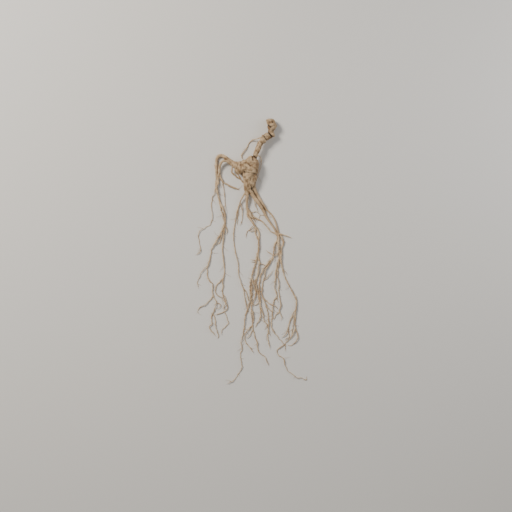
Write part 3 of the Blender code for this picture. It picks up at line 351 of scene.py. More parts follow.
def smooth_route(points, step):
    """A Catmull-Rom curve through the points, read off at even steps. Extra columns are carried along."""
    points = np.array(points, float)
    ends = np.vstack([2 * points[0] - points[1], points, 2 * points[-1] - points[-2]])
    t = np.linspace(0, 1, 16, endpoint=False)[None, :, None]
    before, start, end, after = (ends[k:len(points) - 1 + k][:, None] for k in range(4))
    curve = 0.5 * (2 * start + (end - before) * t
                   + (2 * before - 5 * start + 4 * end - after) * t ** 2
                   + (3 * start - before - 3 * end + after) * t ** 3)
    return even_steps(np.vstack([curve.reshape(-1, points.shape[1]), points[-1:]]), step)


def wave_field(points, length, seed, count=8):
    """Soft lumps of about one size: a quarter of the sum of eight sine waves in seeded directions, which
    mostly lies between -1 and 1."""
    rng = np.random.default_rng(seed)
    directions = unit(rng.normal(size=(count, 3)))
    shifts = rng.uniform(0, TURN, count)
    stretch = rng.uniform(0.75, 1.35, count)
    waves = np.sin(TURN / length * (points @ (directions * stretch[:, None]).T) + shifts)
    return waves.sum(axis=1) / 4


def make_piece(name, points, quads, triangles=None, marks=None):
    """A smooth-shaded mesh object from arrays in millimetres. marks holds one value for each point, which the
    material turns into painted light: below 0 a painted highlight on a ridge, 0 on open skin, and 1 or more
    painted shade deep in a crease."""
    triangles = np.empty((0, 3), int) if triangles is None else triangles
    mesh = bpy.data.meshes.new(name)
    corners = np.concatenate([quads.ravel(), triangles.ravel()]).astype(np.int32)
    starts = np.concatenate([np.arange(len(quads)) * 4, 4 * len(quads) + np.arange(len(triangles)) * 3])
    mesh.vertices.add(len(points))
    mesh.vertices.foreach_set("co", (points * MM).ravel())
    mesh.loops.add(len(corners))
    mesh.loops.foreach_set("vertex_index", corners)
    mesh.polygons.add(len(starts))
    mesh.polygons.foreach_set("loop_start", starts.astype(np.int32))
    mesh.update(calc_edges=True)
    mesh.shade_smooth()
    if marks is not None:
        layer = mesh.attributes.new("crease", "FLOAT", "POINT")
        layer.data.foreach_set("value", marks.astype(np.float32))
    piece = bpy.data.objects.new(name, mesh)
    bpy.context.scene.collection.objects.link(piece)
    return piece


def swept(path, sides, flatness=1.0, relief=no_relief):
    """A profile carried along a path of x, y, z and radius. At each ring the profile is a circle, squashed to
    flatness in height, whose radius grows by relief(run, angle). Both ends close in a pole. Gives points,
    quads and triangles, and how deep each point lies under the plain tube."""
    centre = path[:, :3]
    run = run_along(path)
    ahead = unit(np.gradient(centre, axis=0))
    side = unit(np.cross(ahead, (0.0, 0.0, 1.0)))
    up = np.cross(side, ahead)
    angle = np.linspace(0, TURN, sides, endpoint=False)
    push = relief(run[:, None], angle[None, :])
    reach = (path[:, 3:4] + push)[:, :, None]
    ring = reach * (np.cos(angle)[None, :, None] * side[:, None]
                    + flatness * np.sin(angle)[None, :, None] * up[:, None])
    points = (centre[:, None] + ring).reshape(-1, 3)
    rings = len(path)
    index = np.arange(rings * sides).reshape(rings, sides)
    near, far = index[:-1], index[1:]
    quads = np.stack([near, np.roll(near, -1, 1), np.roll(far, -1, 1), far], axis=-1).reshape(-1, 4)
    start_pole, end_pole = rings * sides, rings * sides + 1
    first, last = index[0], index[-1]
    triangles = np.vstack([
        np.column_stack([np.full(sides, start_pole), np.roll(first, -1), first]),
        np.column_stack([np.full(sides, end_pole), last, np.roll(last, -1)])])
    past = np.minimum(POLE_SHARE * path[[0, -1], 3], MOST_POLE)
    poles = np.vstack([centre[0] - past[0] * ahead[0], centre[-1] + past[1] * ahead[-1]])
    depth = np.concatenate([-push.ravel(), [0.0, 0.0]])
    return np.vstack([points, poles]), quads, triangles, depth


def gather(shapes):
    """Join several swept shapes into one set of arrays."""
    offsets = np.cumsum([0] + [len(shape[0]) for shape in shapes])
    points = np.vstack([shape[0] for shape in shapes])
    quads = np.vstack([shape[1] + offset for shape, offset in zip(shapes, offsets)])
    triangles = np.vstack([shape[2] + offset for shape, offset in zip(shapes, offsets)])
    return points, quads, triangles, np.concatenate([shape[3] for shape in shapes])


def ball(place, segments=32, rings=18):
    """A closed ellipsoid on a grid of longitude and latitude, with a pole at each end."""
    x, y, z, across, along, up = place
    turn = np.linspace(0, TURN, segments, endpoint=False)
    tilt = np.linspace(0, math.pi, rings + 2)[1:-1, None]
    grid = np.broadcast_arrays(np.sin(tilt) * np.cos(turn), np.sin(tilt) * np.sin(turn), np.cos(tilt))
    grid = np.stack(grid, axis=-1).reshape(-1, 3)
    points = np.vstack([grid, [[0, 0, 1], [0, 0, -1]]]) * (across, along, up) + (x, y, z)
    index = np.arange(rings * segments).reshape(rings, segments)
    near, far = index[:-1], index[1:]
    quads = np.stack([near, far, np.roll(far, -1, 1), np.roll(near, -1, 1)], axis=-1).reshape(-1, 4)
    top, bottom = rings * segments, rings * segments + 1
    triangles = np.vstack([
        np.column_stack([np.full(segments, top), index[0], np.roll(index[0], -1)]),
        np.column_stack([np.full(segments, bottom), np.roll(index[-1], -1), index[-1]])])
    return points, quads, triangles, np.zeros(len(points))


# How the roots lie on the table.

def drape(height, run, climb):
    """The lowest line over all heights that nowhere rises or falls faster than climb."""
    gap = np.abs(run[:, None] - run[None, :])
    return np.max(height[None, :] - climb * gap, axis=1)


def lay_roots(limbs):
    """Lay the roots one after the other: each leaves its parent at the parent's own height, comes down to
    the table and climbs over those laid before it. Gives x, y, z and radius along each root."""
    laid = dict(limbs)
    for index, (name, (parent, radii, route)) in enumerate(ROOTS.items()):
        path = smooth_route(route, ROUTE_STEP)
        run = run_along(path)
        true_radius = np.interp(run / run[-1], np.linspace(0, 1, len(radii)), radii)
        radius = np.maximum(true_radius, THINNEST_RADIUS)
        wave = np.sin(TURN * run / RIPPLE_LENGTH + index * GOLDEN_ANGLE)
        lowest = radius - SINK
        height = lowest + RIPPLE * (1 + wave)
        for other_name, other in laid.items():
            if other_name in limbs:
                continue
            gap = np.linalg.norm(path[:, None, :2] - other[None, :, :2], axis=2)
            reach = radius[:, None] + other[None, :, 3]
            share = gap / (SIDE_BY_SIDE * reach)
            over = other[None, :, 2] + reach * np.sqrt(np.maximum(1 - share ** 2, 0))
            over = np.where(share < 1, over, 0).max(axis=1)
            if other_name == parent:
                over[run < FORK_CLEARANCE] = 0
            height = np.maximum(height, over)
        height = drape(height, run, CLIMB)
        source = laid[parent]
        nearest = np.argmin(np.linalg.norm(source[:, :2] - path[0, :2], axis=1))
        down = ease(run / min(LANDING, LANDING_SHARE * run[-1]))
        height = source[nearest, 2] * (1 - down) + height * down
        height = np.maximum(height, lowest)
        laid[name] = np.column_stack([path, height, radius, true_radius])
    return {name: path for name, path in laid.items() if name not in limbs}


# The body, the arm, the neck and the thick legs: one fused skin.

VOXEL = 0.27                # size of the net that the fused skin is made on
JOINT_ROUNDS = 14           # rounds of smoothing that round off the forks
DRAW_IN = 0.125 * JOINT_ROUNDS * VOXEL ** 2     # smoothing makes a tube thinner by this over its radius
LEG_END = 1.5               # stretch in which a leg's skin narrows inside the fine root that goes on from it
LEG_END_SHARE = 0.3         # what is left of its radius at the end of that stretch
OVERLAP = 3.0               # stretch of the fine root that starts inside the leg's skin
LIMB_BLEND = 9.0            # how sharply one limb's relief gives way to its neighbour's
FULL_RELIEF = 1.5           # radius from which a limb carries its relief at full height
FULL_LUMPS = 4.0            # radius from which it is as lumpy as the body
LUMPS_FROM = -24.0          # y below which the legs have no lumps
LUMPS_FADE = 16.0           # stretch above it in which the lumps set in
NECK_FROM = 14.0            # y where the neck begins, for the next three
NECK_BLEND = 4.0            # stretch over which the body's trim gives way to the neck's filling
NECK_FILL = 0.10            # how far the neck is filled out
BODY_TRIM = 0.10            # how far the body is drawn in
HEAD_DARKENING = 0.34            # how much darker the neck gets towards its head, as a share of a full crease
DARKENING_FROM = 22.0            # y from which it gets darker
DARKENING_BLEND = 22.0           # stretch over which it does
FINE_ROUNDS = 8             # rounds of smoothing that give the mean of a small neighbourhood
FINE_HOLLOW = 0.12          # depth at which a small hollow's painted shade is as dark as it gets
FINE_SHADE = 0.40            # how dark that painted shade is, as a share of a full crease
BROAD_ROUNDS = 60           # the same three for a wide hollow's painted shade, and for how pale the painted highlight on a ridge is
BROAD_HOLLOW = 0.34
BROAD_SHADE_AND_HIGHLIGHT = 0.70
DEEP_CREASE = 0.8           # depth at which a listed crease's painted shade is as dark as it gets
CREASE_SHADE = 0.45          # how much that painted shade adds
SHADED_WIDTH = 1.3          # how much wider a crease's painted shade is than the crease
LEGS_TO_BODY = (-23.0, -14.0)   # y of the thin legs and of the full body, for the next two
CREASE_LOW = (0.5, 2.6)     # height under which there is no crease, at the legs and on the body
CREASE_HIGH = (1.8, 6.0)    # height above which creases are pressed in fully, in the same order
KNOB_LEVEL = 3.2            # height from which knobs stand out
KNOB_RISE = 2.5             # rise over which they reach their full height

# How far along these roots the thick first stretch goes that is fused into the body's skin.
LEG_REACH = {"right_leg": 63.0, "middle_leg": 62.0, "left_leg": 20.0, "arm_root": 26.0, "arm_fork": 20.0,
             "pale_root": 9.0}

# Creases on the upper side: both ends' x and y, depth and half width.
CREASES = (
    # Where the neck grows from the shoulder.
    (2.4, 16.4, 3.0, 11.0, 0.75, 0.75), (3.4, 15.6, 7.4, 12.8, 0.80, 0.75),
    # On the body and the arm.
    (-4.0, 8.6, 0.4, 5.4, 0.42, 1.00), (-3.0, 3.6, -3.8, 0.4, 0.38, 0.95),
    (-5.6, -0.8, 0.4, -1.5, 0.50, 0.80), (0.4, -1.5, 5.0, -2.3, 0.55, 0.75),
    (-8.9, 9.6, -9.4, 3.4, 0.32, 0.95), (-12.9, 7.5, -11.6, 3.8, 0.42, 0.85),
    (-2.4, -10.6, -2.2, -15.2, 0.42, 0.80), (1.6, -4.0, 0.6, -9.0, 0.30, 0.90),
    (-4.9, -5.6, -1.6, -8.2, 0.32, 0.90), (3.0, 4.2, 6.4, 1.2, 0.28, 1.10),
    (3.4, 10.2, 4.0, 5.0, 0.30, 1.00), (-0.8, 0.6, 2.6, 1.2, 0.28, 1.00),
    (-4.6, -13.0, -3.6, -18.0, 0.35, 0.70),
    # The slit between the two right legs.
    (0.9, -13.6, 2.3, -19.0, 0.85, 0.48), (2.3, -18.0, 5.3, -23.0, 0.42, 0.40),
    (5.3, -23.0, 8.4, -28.0, 0.40, 0.40), (8.4, -28.0, 12.0, -33.0, 0.38, 0.40),
    (12.0, -33.0, 15.0, -37.8, 0.34, 0.35),
    # On the neck and the head.
    (15.7, 41.0, 21.5, 35.0, 1.50, 0.70), (13.4, 35.6, 16.9, 30.2, 0.52, 0.75),
    (9.2, 31.0, 13.2, 26.8, 0.60, 0.80), (6.6, 25.8, 10.4, 23.4, 0.35, 0.80),
    (5.0, 20.9, 8.4, 18.9, 0.32, 0.75), (17.0, 46.6, 20.6, 43.8, 0.72, 0.65),
    (20.6, 43.8, 24.2, 46.2, 0.30, 0.70),
)
# Knobs on the upper side: centre x and y, height and radius.
KNOBS = (
    (-3.4, -7.2, 0.75, 1.7), (1.2, -4.6, 0.60, 1.9), (2.6, -9.5, 0.45, 2.4), (-3.6, -12.4, 0.55, 1.8),
    (-1.2, -9.6, 0.45, 1.6), (-2.4, 8.6, 0.55, 2.4), (-6.2, 3.2, 0.60, 2.4), (5.6, 6.6, 0.60, 2.6),
    (0.6, 3.6, 0.50, 2.0), (4.4, -0.6, 0.45, 1.7), (-10.8, 7.6, 0.50, 2.0), (-13.8, 7.2, 0.35, 1.6),
    (17.6, 36.6, 0.55, 1.7), (22.4, 36.8, 0.60, 1.6), (12.0, 31.2, 0.60, 1.7), (18.0, 50.4, 0.45, 1.5),
    (23.4, 47.4, 0.40, 1.4), (21.4, 41.6, 0.45, 1.7), (8.6, 24.4, 0.35, 1.5), (6.4, 18.2, 0.35, 1.4))
# Bowls where each year's stem fell off: centre x, y, z and radius.
SCARS = (
    (19.7, 53.8, 5.5, 2.3), (22.7, 49.4, 10.0, 1.9), (16.5, 46.7, 6.4, 1.3), (14.9, 37.3, 7.6, 1.6),
    (20.3, 33.0, 7.4, 1.6), (8.0, 28.0, 8.6, 1.3), (13.8, 26.9, 7.2, 1.3), (5.0, 19.8, 8.2, 1.1))


def fuse(shapes):
    """One closed skin round all the shapes, as points and quads: their voxel remesh, made at one unit to
    the millimetre."""
    points, quads, triangles, _ = gather(shapes)
    source = make_piece("fused_source", points / MM, quads, triangles)
    remesh = source.modifiers.new("fuse", "REMESH")
    remesh.mode = "VOXEL"
    remesh.voxel_size = VOXEL
    graph = bpy.context.evaluated_depsgraph_get()
    mesh = source.evaluated_get(graph).to_mesh()
    points = np.empty(3 * len(mesh.vertices))
    mesh.vertices.foreach_get("co", points)
    quads = np.empty(len(mesh.loops), int)
    mesh.loops.foreach_get("vertex_index", quads)
    bpy.data.objects.remove(source, do_unlink=True)
    return points.reshape(-1, 3), quads.reshape(-1, 4)


def edges_of(quads):
    """Each edge of the quads once."""
    pairs = np.vstack([quads[:, [k, (k + 1) % 4]] for k in range(4)])
    return np.unique(np.sort(pairs, axis=1), axis=0)


def relax(points, edges, rounds, share=0.5):
    """Move each point, or each value, part of the way to the mean of its neighbours, several times over."""
    near, far = edges.T
    count = np.bincount(edges.ravel(), minlength=len(points))[:, None]
    for _ in range(rounds):
        total = np.column_stack([np.bincount(near, column[far], len(points))
                                 + np.bincount(far, column[near], len(points)) for column in points.T])
        points = points + share * (total / count - points)
    return points


def normals_of(points, quads):
    """Outward direction at each point: the sum of its faces' cross products."""
    first, second, third, fourth = (points[quads[:, k]] for k in range(4))
    faces = np.cross(third - first, fourth - second)
    total = [np.bincount(quads.ravel(), np.repeat(column, 4), len(points)) for column in faces.T]
    return unit(np.column_stack(total))


def limb_place(points, path, flatness):
    """Where each point sits on a limb: distance along it, angle round it, distance from its centre line
    against the limb's radius there, and that radius."""
    gap = points[:, None, :] - path[None, :, :3]
    gap[:, :, 2] /= flatness
    nearest = np.argmin((gap ** 2).sum(axis=2), axis=1)
    ahead = unit(np.gradient(path[:, :2], axis=0))[nearest]
    offset = gap[np.arange(len(points)), nearest]
    along = (offset[:, :2] * ahead).sum(axis=1)
    across = offset[:, 0] * ahead[:, 1] - offset[:, 1] * ahead[:, 0]
    run = run_along(path)[nearest] + along
    angle = np.arctan2(offset[:, 2], across)
    radius = path[nearest, 3]
    return run, angle, np.hypot(across, offset[:, 2]) / radius, radius


def groove(phase, width):
    """A narrow valley once in each turn of the phase."""
    return -bell((phase / TURN + 0.5) % 1 - 0.5, width)


def trunk_relief(run, angle):
    """Growth rings close together round the shoulder, wider apart and weaker below it, and lengthwise
    furrows that start under the shoulder."""
    wobble = 0.8 * np.sin(2 * angle + 1.1) + 0.7 * np.sin(3 * angle + 0.35 * run)
    spacing = 1.35 + 0.035 * run
    broken = 0.6 + 0.4 * np.sin(2 * angle + 0.8 * run)
    weaker = 1 - 0.55 * ease((run - 13) / 10)
    rings = 0.15 * groove(TURN * run / spacing + wobble, 0.20) * broken * weaker
    furrows = 0.20 * np.sin(6 * angle + 0.15 * run + 2) + 0.14 * np.sin(10 * angle - 0.2 * run)
    return rings + furrows * ease((run - 8) / 12)


def arm_relief(run, angle):
    """Wrinkles across the arm over shallow lengthwise furrows."""
    wobble = 0.9 * np.sin(2 * angle) + 0.5 * np.sin(3 * angle + 0.5 * run)
    spacing = 2.1
    return 0.16 * groove(TURN * run / spacing + wobble, 0.22) + 0.09 * np.sin(6 * angle + 0.3 * run)


def neck_relief(run, angle):
    """Close, uneven ridges across the neck, which wind a little, over short lengthwise furrows."""
    wobble = 1.2 * np.sin(angle + 0.4 * run) + 0.8 * np.sin(2 * angle + 0.3 * run)
    spacing = 1.55
    ridges = 0.17 * groove(TURN * run / spacing + wobble, 0.22)
    return ridges + 0.10 * np.sin(5 * angle + 0.7 * run) + 0.06 * np.sin(9 * angle - 0.5 * run)


def leg_relief(run, angle):
    """Fine lengthwise furrows and a few wrinkles across."""
    wobble = 0.9 * np.sin(2 * angle + 0.3 * run) + 2 * np.sin(0.37 * run)
    spacing = 2.7
    furrows = 0.07 * np.sin(5 * angle + 0.12 * run) + 0.05 * np.sin(8 * angle - 0.2 * run)
    return furrows + 0.10 * groove(TURN * run / spacing + wobble, 0.15)


RELIEF = {"trunk": trunk_relief, "arm": arm_relief, "neck": neck_relief}       # the legs have leg_relief


def crease_depth(points, widened=1.0):
    """How deep the listed creases press in: a bell across each line, fading at its ends. They are on
    the upper side only, none under a lower level and in full above a higher one, and both levels come
    down over the thin legs."""
    depth = np.zeros(len(points))
    for x0, y0, x1, y1, deep, width in CREASES:
        line = np.array([x1 - x0, y1 - y0])
        offset = points[:, :2] - (x0, y0)
        share = offset @ line / (line @ line)
        gap = np.linalg.norm(offset - np.clip(share, 0, 1)[:, None] * line, axis=1)
        depth = np.maximum(depth, deep * bell(gap, width * widened))
    low, high = (np.interp(points[:, 1], LEGS_TO_BODY, levels) for levels in (CREASE_LOW, CREASE_HIGH))
    return depth * ease((points[:, 2] - low) / (high - low))


def knob_height(points):
    """How far the listed knobs stand out: a bell round each, on the upper side only."""
    height = np.zeros(len(points))
    for x, y, high, radius in KNOBS:
        gap = np.linalg.norm(points[:, :2] - (x, y), axis=1)
        height += high * bell(gap, radius)
    return height * ease((points[:, 2] - KNOB_LEVEL) / KNOB_RISE)


def scar_depth(points):
    """A bowl with a raised rim at each scar: pressed in within its radius, pushed out just past it."""
    depth = np.zeros(len(points))
    for x, y, z, radius in SCARS:
        gap = np.linalg.norm(points - (x, y, z), axis=1) / radius
        bowl = 0.42 * bell(gap, 0.62)
        rim = 0.12 * bell(gap - 1.05, 0.22)
        depth += radius * (bowl - rim)
    return depth


def thick_legs(roots):
    """The first stretches of the legs and the arm's roots, which are fused into the body's skin. They are
    made thicker by what smoothing will take off, and narrow inside the fine roots that go on from them."""
    stretches = {}
    for name, reach in LEG_REACH.items():
        path = even_steps(roots[name], LIMB_STEP)
        path = path[run_along(path) <= reach]
        left = reach - run_along(path)
        narrowing = LEG_END_SHARE + (1 - LEG_END_SHARE) * ease(left / LEG_END)
        radius = (path[:, 4] + DRAW_IN / path[:, 4]) * narrowing
        stretches[name] = np.column_stack([path[:, :3], radius])
    return stretches


def limb_relief(points, paths):
    """Every limb's own relief at each point of the fused skin, and the limb's radius there. Where limbs
    meet, each counts the more, the nearer the point lies to that limb's plain surface."""
    push = np.zeros(len(points))
    girth = np.zeros(len(points))
    weights = np.full(len(points), 1e-6)
    for name, path in paths.items():
        run, angle, share, radius = limb_place(points, path, FLATNESS.get(name, 1.0))
        weight = np.exp(-LIMB_BLEND * np.abs(share - 1))
        relief = RELIEF.get(name, leg_relief)
        push += weight * relief(run, angle) * np.minimum(radius / FULL_RELIEF, 1)
        girth += weight * radius
        weights += weight
    return push / weights, girth / weights


def soft_lumps(points, girth):
    """Uneven growth: lumps about 8 mm and 3.4 mm long, which fade out down the legs and where a limb is
    thin, and fine pitting, 1.4 mm long. The body is drawn in a little and the neck filled out."""
    y = points[:, 1]
    on_neck = ease((y - NECK_FROM) / NECK_BLEND)
    lumps = 0.42 * wave_field(points, 8.0, SEED) + 0.20 * wave_field(points, 3.4, SEED + 1)
    lumps += NECK_FILL * on_neck - BODY_TRIM * (1 - on_neck)
    pitting = 0.05 * wave_field(points, 1.4, SEED + 2) * np.minimum(girth / FULL_RELIEF, 1)
    return lumps * ease((y - LUMPS_FROM) / LUMPS_FADE) * ease(girth / FULL_LUMPS) + pitting


def make_body(limbs, roots):
    """Fuse the limbs, round off the forks, then press in rings, furrows, creases and scars."""
    paths = {**limbs, **thick_legs(roots)}
    shapes = [swept(path, LIMB_SIDES, FLATNESS.get(name, 1.0)) for name, path in paths.items()]
    shapes += [ball(place) for place in LUMPS.values()]
    points, quads = fuse(shapes)
    edges = edges_of(quads)
    points = relax(points, edges, JOINT_ROUNDS)
    points[:, 2] = np.maximum(points[:, 2], 0)
    # The neck gets darker towards its head.
    darkening = HEAD_DARKENING * ease((points[:, 1] - DARKENING_FROM) / DARKENING_BLEND)
    normals = normals_of(points, quads)
    push, girth = limb_relief(points, paths)
    push += soft_lumps(points, girth) + knob_height(points) - scar_depth(points)
    # Creases are pressed in partly along the skin's normal and partly from above, so as not to fold it.
    inwards = unit(normals + (0, 0, 1), least=0.2)
    moved = points + normals * push[:, None] - inwards * crease_depth(points)[:, None]
    points = relax(moved, edges, rounds=1, share=0.4)
    points = np.clip(points, *(np.array(corner) / MM for corner in CAD_BOX))
    # The marks are painted shade in hollows and creases and a painted highlight on ridges; the neck also gets
    # darker towards its head.
    return make_piece("root_body", points, quads, marks=hollows(points, quads, edges) + darkening)


def hollows(points, quads, edges):
    """How far each point lies in a hollow, or below 0 how far it stands on a ridge: how much further out or
    in its neighbourhood's mean lies, for a small and a large neighbourhood. The listed creases add to
    it. The skin's material turns this into painted shade in the hollows and creases, partly the darker
    brown of a dried root's grooves, and a painted highlight on the ridges."""
    normals = normals_of(points, quads)
    fine, broad = (((relax(points, edges, rounds) - points) * normals).sum(axis=1)
                   for rounds in (FINE_ROUNDS, BROAD_ROUNDS))
    marks = FINE_SHADE * np.clip(fine / FINE_HOLLOW, 0, 1) + BROAD_SHADE_AND_HIGHLIGHT * np.clip(broad / BROAD_HOLLOW, -1, 1)
    marks += CREASE_SHADE * np.clip(crease_depth(points, SHADED_WIDTH) / DEEP_CREASE, 0, 1)
    return relax(marks[:, None], edges, rounds=6)[:, 0]


# The fine roots.

KINK = 0.14                 # height of each of the waves that make a root's sideways kinks
KINK_LENGTHS = (3.5, 12)    # shortest and longest of those waves
KINK_START = 6.0            # stretch in which the kinks set in
SHIFT_REACH = 5.0           # stretch in which a root comes back to its own route from its parent's kink
RELIEF_START = 4.0          # stretch in which a fine root's relief sets in
WRINKLE_GAPS = (1.3, 2.4)   # closest and widest spacing of the wrinkles across a root
KNOT_GAPS = (4, 16)         # the same for its knots
KNOT_LIMIT = 60             # more knots than the longest root has room for
KNOT_HEIGHT = 0.42          # height of a knot as a share of the root's radius
KNOT_WIDTH = 0.55
TIP_LENGTH = 4.5            # stretch in which a root narrows to its tip
TIP_SHARE = 0.16            # radius of the tip against the root's own
TIP_POWER = 0.7             # below 1, a root keeps its width longer towards the tip
START_SHARE = 0.4           # radius where it leaves its parent, in the same way
START_RADII = 1.5           # stretch in which it widens to its own radius, as a multiple of that
LIFT = 0.05                 # how far a fine root clears the table where it lies lowest
THICK_ROOT = 0.6            # mean radius above which a root's tube has THICK_SIDES
THICK_SIDES = 10
FINE_SIDES = 8
HAIR_SIDES = 5
ROOT_FOLD = 0.16            # depth at which the painted shade in a fold on a fine root is as dark as it gets
FOLD_SHADE = 0.55            # how dark that painted shade is, as a share of a full crease
HAIR_SOIL = 0.3             # how dark hair roots are, in the same way
HAIR_GAPS = (7, 24)         # closest and widest spacing of the hair roots along a root
HAIR_LIMIT = 40             # more hair roots than the longest root has room for
BARE_START = 6.0            # stretch without hair roots where a root starts
BARE_TIP = 2.0              # the same at its tip
HAIR_ANGLES = (0.45, 1.15)  # least and greatest angle between a hair root and its root, in radians
HAIR_LENGTHS = (2.2, 8.5)
HAIR_BEND = 0.16            # most that a hair root bends in each millimetre, in radians
HAIR_STEP = 0.45            # distance between the rings of a hair root
HAIR_RADIUS = 0.17
HAIR_TAPER = 0.75           # share of its radius that a hair root loses up to its tip
HAIR_HEIGHT = 0.3           # height of a hair root's tip above the table
ROOT_MARGIN = 0.6           # how far fine roots' centres stay inside the solid's box
HAIR_MARGIN = 0.3           # the same for hair roots


def root_relief(radius, rng):
    """Skin of one dried root: slightly squashed and furrowed, wrinkled across, with a small knot here and
    there. Every part is a share of the root's radius, and all fade out towards its start."""
    turn = rng.uniform(0, TURN, 6)
    spacing = rng.uniform(*WRINKLE_GAPS)
    knots = np.cumsum(rng.uniform(*KNOT_GAPS, KNOT_LIMIT))
    sides = rng.uniform(0, TURN, KNOT_LIMIT)

    def relief(run, angle):
        squash = 0.09 * np.cos(2 * angle + turn[0] + 0.1 * run)
        furrows = 0.06 * np.cos(5 * angle + turn[1] + 0.2 * run)
        wrinkles = 0.10 * np.sin(TURN * run / spacing + 1.2 * np.sin(angle + turn[2]) + turn[3])
        slow = 0.12 * np.sin(run / 3.1 + turn[4]) + 0.08 * np.sin(run / 1.3 + turn[5])
        near = np.searchsorted((knots[1:] + knots[:-1]) / 2, run[:, 0])
        swelling = KNOT_HEIGHT * bell(run[:, 0] - knots[near], KNOT_WIDTH)[:, None]
        knot = swelling * (0.65 + 0.35 * np.cos(angle - sides[near][:, None]))
        return radius[:, None] * (squash + furrows + wrinkles + slow + knot) * ease(run / RELIEF_START)

    return relief


def keep_inside(path, margin):
    """Hold a path's x and y inside the solid's own box, less a margin."""
    low, high = (np.array(corner[:2]) / MM for corner in CAD_BOX)
    path[:, :2] = np.clip(path[:, :2], low + margin, high - margin)
    return path


def wander(path, rng):
    """Small sideways kinks of a dried root, zero at its start: the sum of three sine waves of seeded length,
    each as high as KINK."""
    run = run_along(path)
    ahead = unit(np.gradient(path[:, :2], axis=0))
    lengths = rng.uniform(*KINK_LENGTHS, 3)
    shifts = rng.uniform(0, TURN, 3)
    kink = KINK * np.sin(TURN * run[:, None] / lengths + shifts).sum(axis=1) * ease(run / KINK_START)
    moved = path.copy()
    moved[:, 0] += kink * ahead[:, 1]
    moved[:, 1] -= kink * ahead[:, 0]
    return keep_inside(moved, ROOT_MARGIN)


def kinked(roots, rng):
    """The roots' paths with their kinks. Each root's start moves with the place on its parent that it grows
    from."""
    paths = {}
    for name, route in roots.items():
        path = even_steps(route, ROOT_STEP)
        moved = path.copy() if name in LEG_REACH else wander(path, rng)
        parent = paths.get(ROOTS[name][0])
        if parent is not None:
            nearest = np.argmin(np.linalg.norm(parent[:, :2] - path[0, :2], axis=1))
            shift = parent[nearest, :3] - path[0, :3]
            moved[:, :3] += (1 - ease(run_along(path) / SHIFT_REACH))[:, None] * shift
        paths[name] = moved
    return paths


def root_shape(path, sides, rng):
    """One fine root as a swept tube: it starts narrow inside what it grows from, and its tip narrows to a
    point."""
    run = run_along(path)
    radius = path[:, 4] * (TIP_SHARE + (1 - TIP_SHARE) * ease((run[-1] - run) / TIP_LENGTH) ** TIP_POWER)
    radius *= START_SHARE + (1 - START_SHARE) * ease(run / (START_RADII * path[0, 4]))
    height = np.maximum(path[:, 2] - path[:, 3] + path[:, 4], radius + LIFT)
    path = np.column_stack([path[:, :2], height, radius])
    return swept(path, sides, relief=root_relief(radius, rng))


def hair_paths(roots, rng):
    """Short hair roots: each leaves a fine root at a seeded place and angle, bends evenly and comes down."""
    for path in roots.values():
        run = run_along(path)
        marks = np.cumsum(rng.uniform(*HAIR_GAPS, HAIR_LIMIT)) + BARE_START
        for mark in marks[marks < run[-1] - BARE_TIP]:
            index = np.searchsorted(run, mark)
            ahead = path[index, :2] - path[index - 1, :2]
            heading = math.atan2(ahead[1], ahead[0]) + rng.choice((-1, 1)) * rng.uniform(*HAIR_ANGLES)
            length = rng.uniform(*HAIR_LENGTHS)
            steps = np.arange(0, length, HAIR_STEP)
            turns = heading + rng.uniform(-HAIR_BEND, HAIR_BEND) * steps
            x = path[index, 0] + HAIR_STEP * np.cumsum(np.cos(turns))
            y = path[index, 1] + HAIR_STEP * np.cumsum(np.sin(turns))
            z = path[index, 2] + (HAIR_HEIGHT - path[index, 2]) * ease(steps / length)
            radius = HAIR_RADIUS * (1 - HAIR_TAPER * steps / length)
            yield keep_inside(np.column_stack([x, y, z, radius]), HAIR_MARGIN)


# Each strand of the spray and the roots that belong to it, by what they grow from in the end.
STRANDS = {
    "arm_roots": ("arm_root", "arm_fork", "arm_curl", "arm_curl_inner", "arm_curl_hook"),
    "centre_roots": ("left_leg", "pale_root"),
    "right_roots": ("right_leg", "middle_leg"),
    "neck_rootlets": ("neck_root", "shoulder_root"),
}


def strand_of(name):
    """The strand that a root belongs to: the one that lists its first ancestor."""
    while ROOTS[name][0] in ROOTS:
        name = ROOTS[name][0]
    return next(strand for strand, starts in STRANDS.items() if name in starts)


def make_roots(roots):
    """The spray, one piece for each strand, and one piece for all hair roots."""
    rng = np.random.default_rng(SEED)
    strands = {strand: [] for strand in STRANDS}
    paths = kinked(roots, rng)
    for name, path in paths.items():
        kept = path[run_along(path) > LEG_REACH.get(name, 0) - OVERLAP]
        # The body's skin already holds the whole of some roots.
        if len(kept) > 3:
            sides = THICK_SIDES if path[:, 4].mean() > THICK_ROOT else FINE_SIDES
            strands[strand_of(name)].append(root_shape(kept, sides, rng))
    made = []
    for strand, tubes in strands.items():
        points, quads, triangles, depth = gather(tubes)
        points[:, 2] = np.maximum(points[:, 2], 0)
        # Painted shade in the folds of each fine root: the deeper the fold, the darker.
        marks = FOLD_SHADE * np.clip(depth / ROOT_FOLD, 0, 1)
        made.append(make_piece(strand, points, quads, triangles, marks))
    points, quads, triangles, _ = gather([swept(path, HAIR_SIDES) for path in hair_paths(paths, rng)])
    made.append(make_piece("hair_roots", points, quads, triangles, np.full(len(points), HAIR_SOIL)))
    return made


# Materials.

# The last of the four colours is the painted shade deep in creases and folds, partly the brown of the
# grooves; light also serves as the painted highlight on ridges.
BODY_SKIN = {"light": "#CDAF88", "mid": "#8A6B49", "dark": "#5A4229", "darkening": "#2D2013",
             "patch_mm": 5.0, "grain_mm": 0.55, "bump_mm": 0.09, "roughness": 0.70}
ROOT_SKIN = {"light": "#DCC29C", "mid": "#BD9C75", "dark": "#896845", "darkening": "#684C2F",
             "patch_mm": 4.0, "grain_mm": 0.40, "bump_mm": 0.05, "roughness": 0.66}


def linear(code, alpha=1.0):
    """An sRGB hex colour as linear red, green, blue and alpha."""
    channels = [int(code[k:k + 2], 16) / 255 for k in (1, 3, 5)]
    return [c / 12.92 if c <= 0.04045 else ((c + 0.055) / 1.055) ** 2.4 for c in channels] + [alpha]


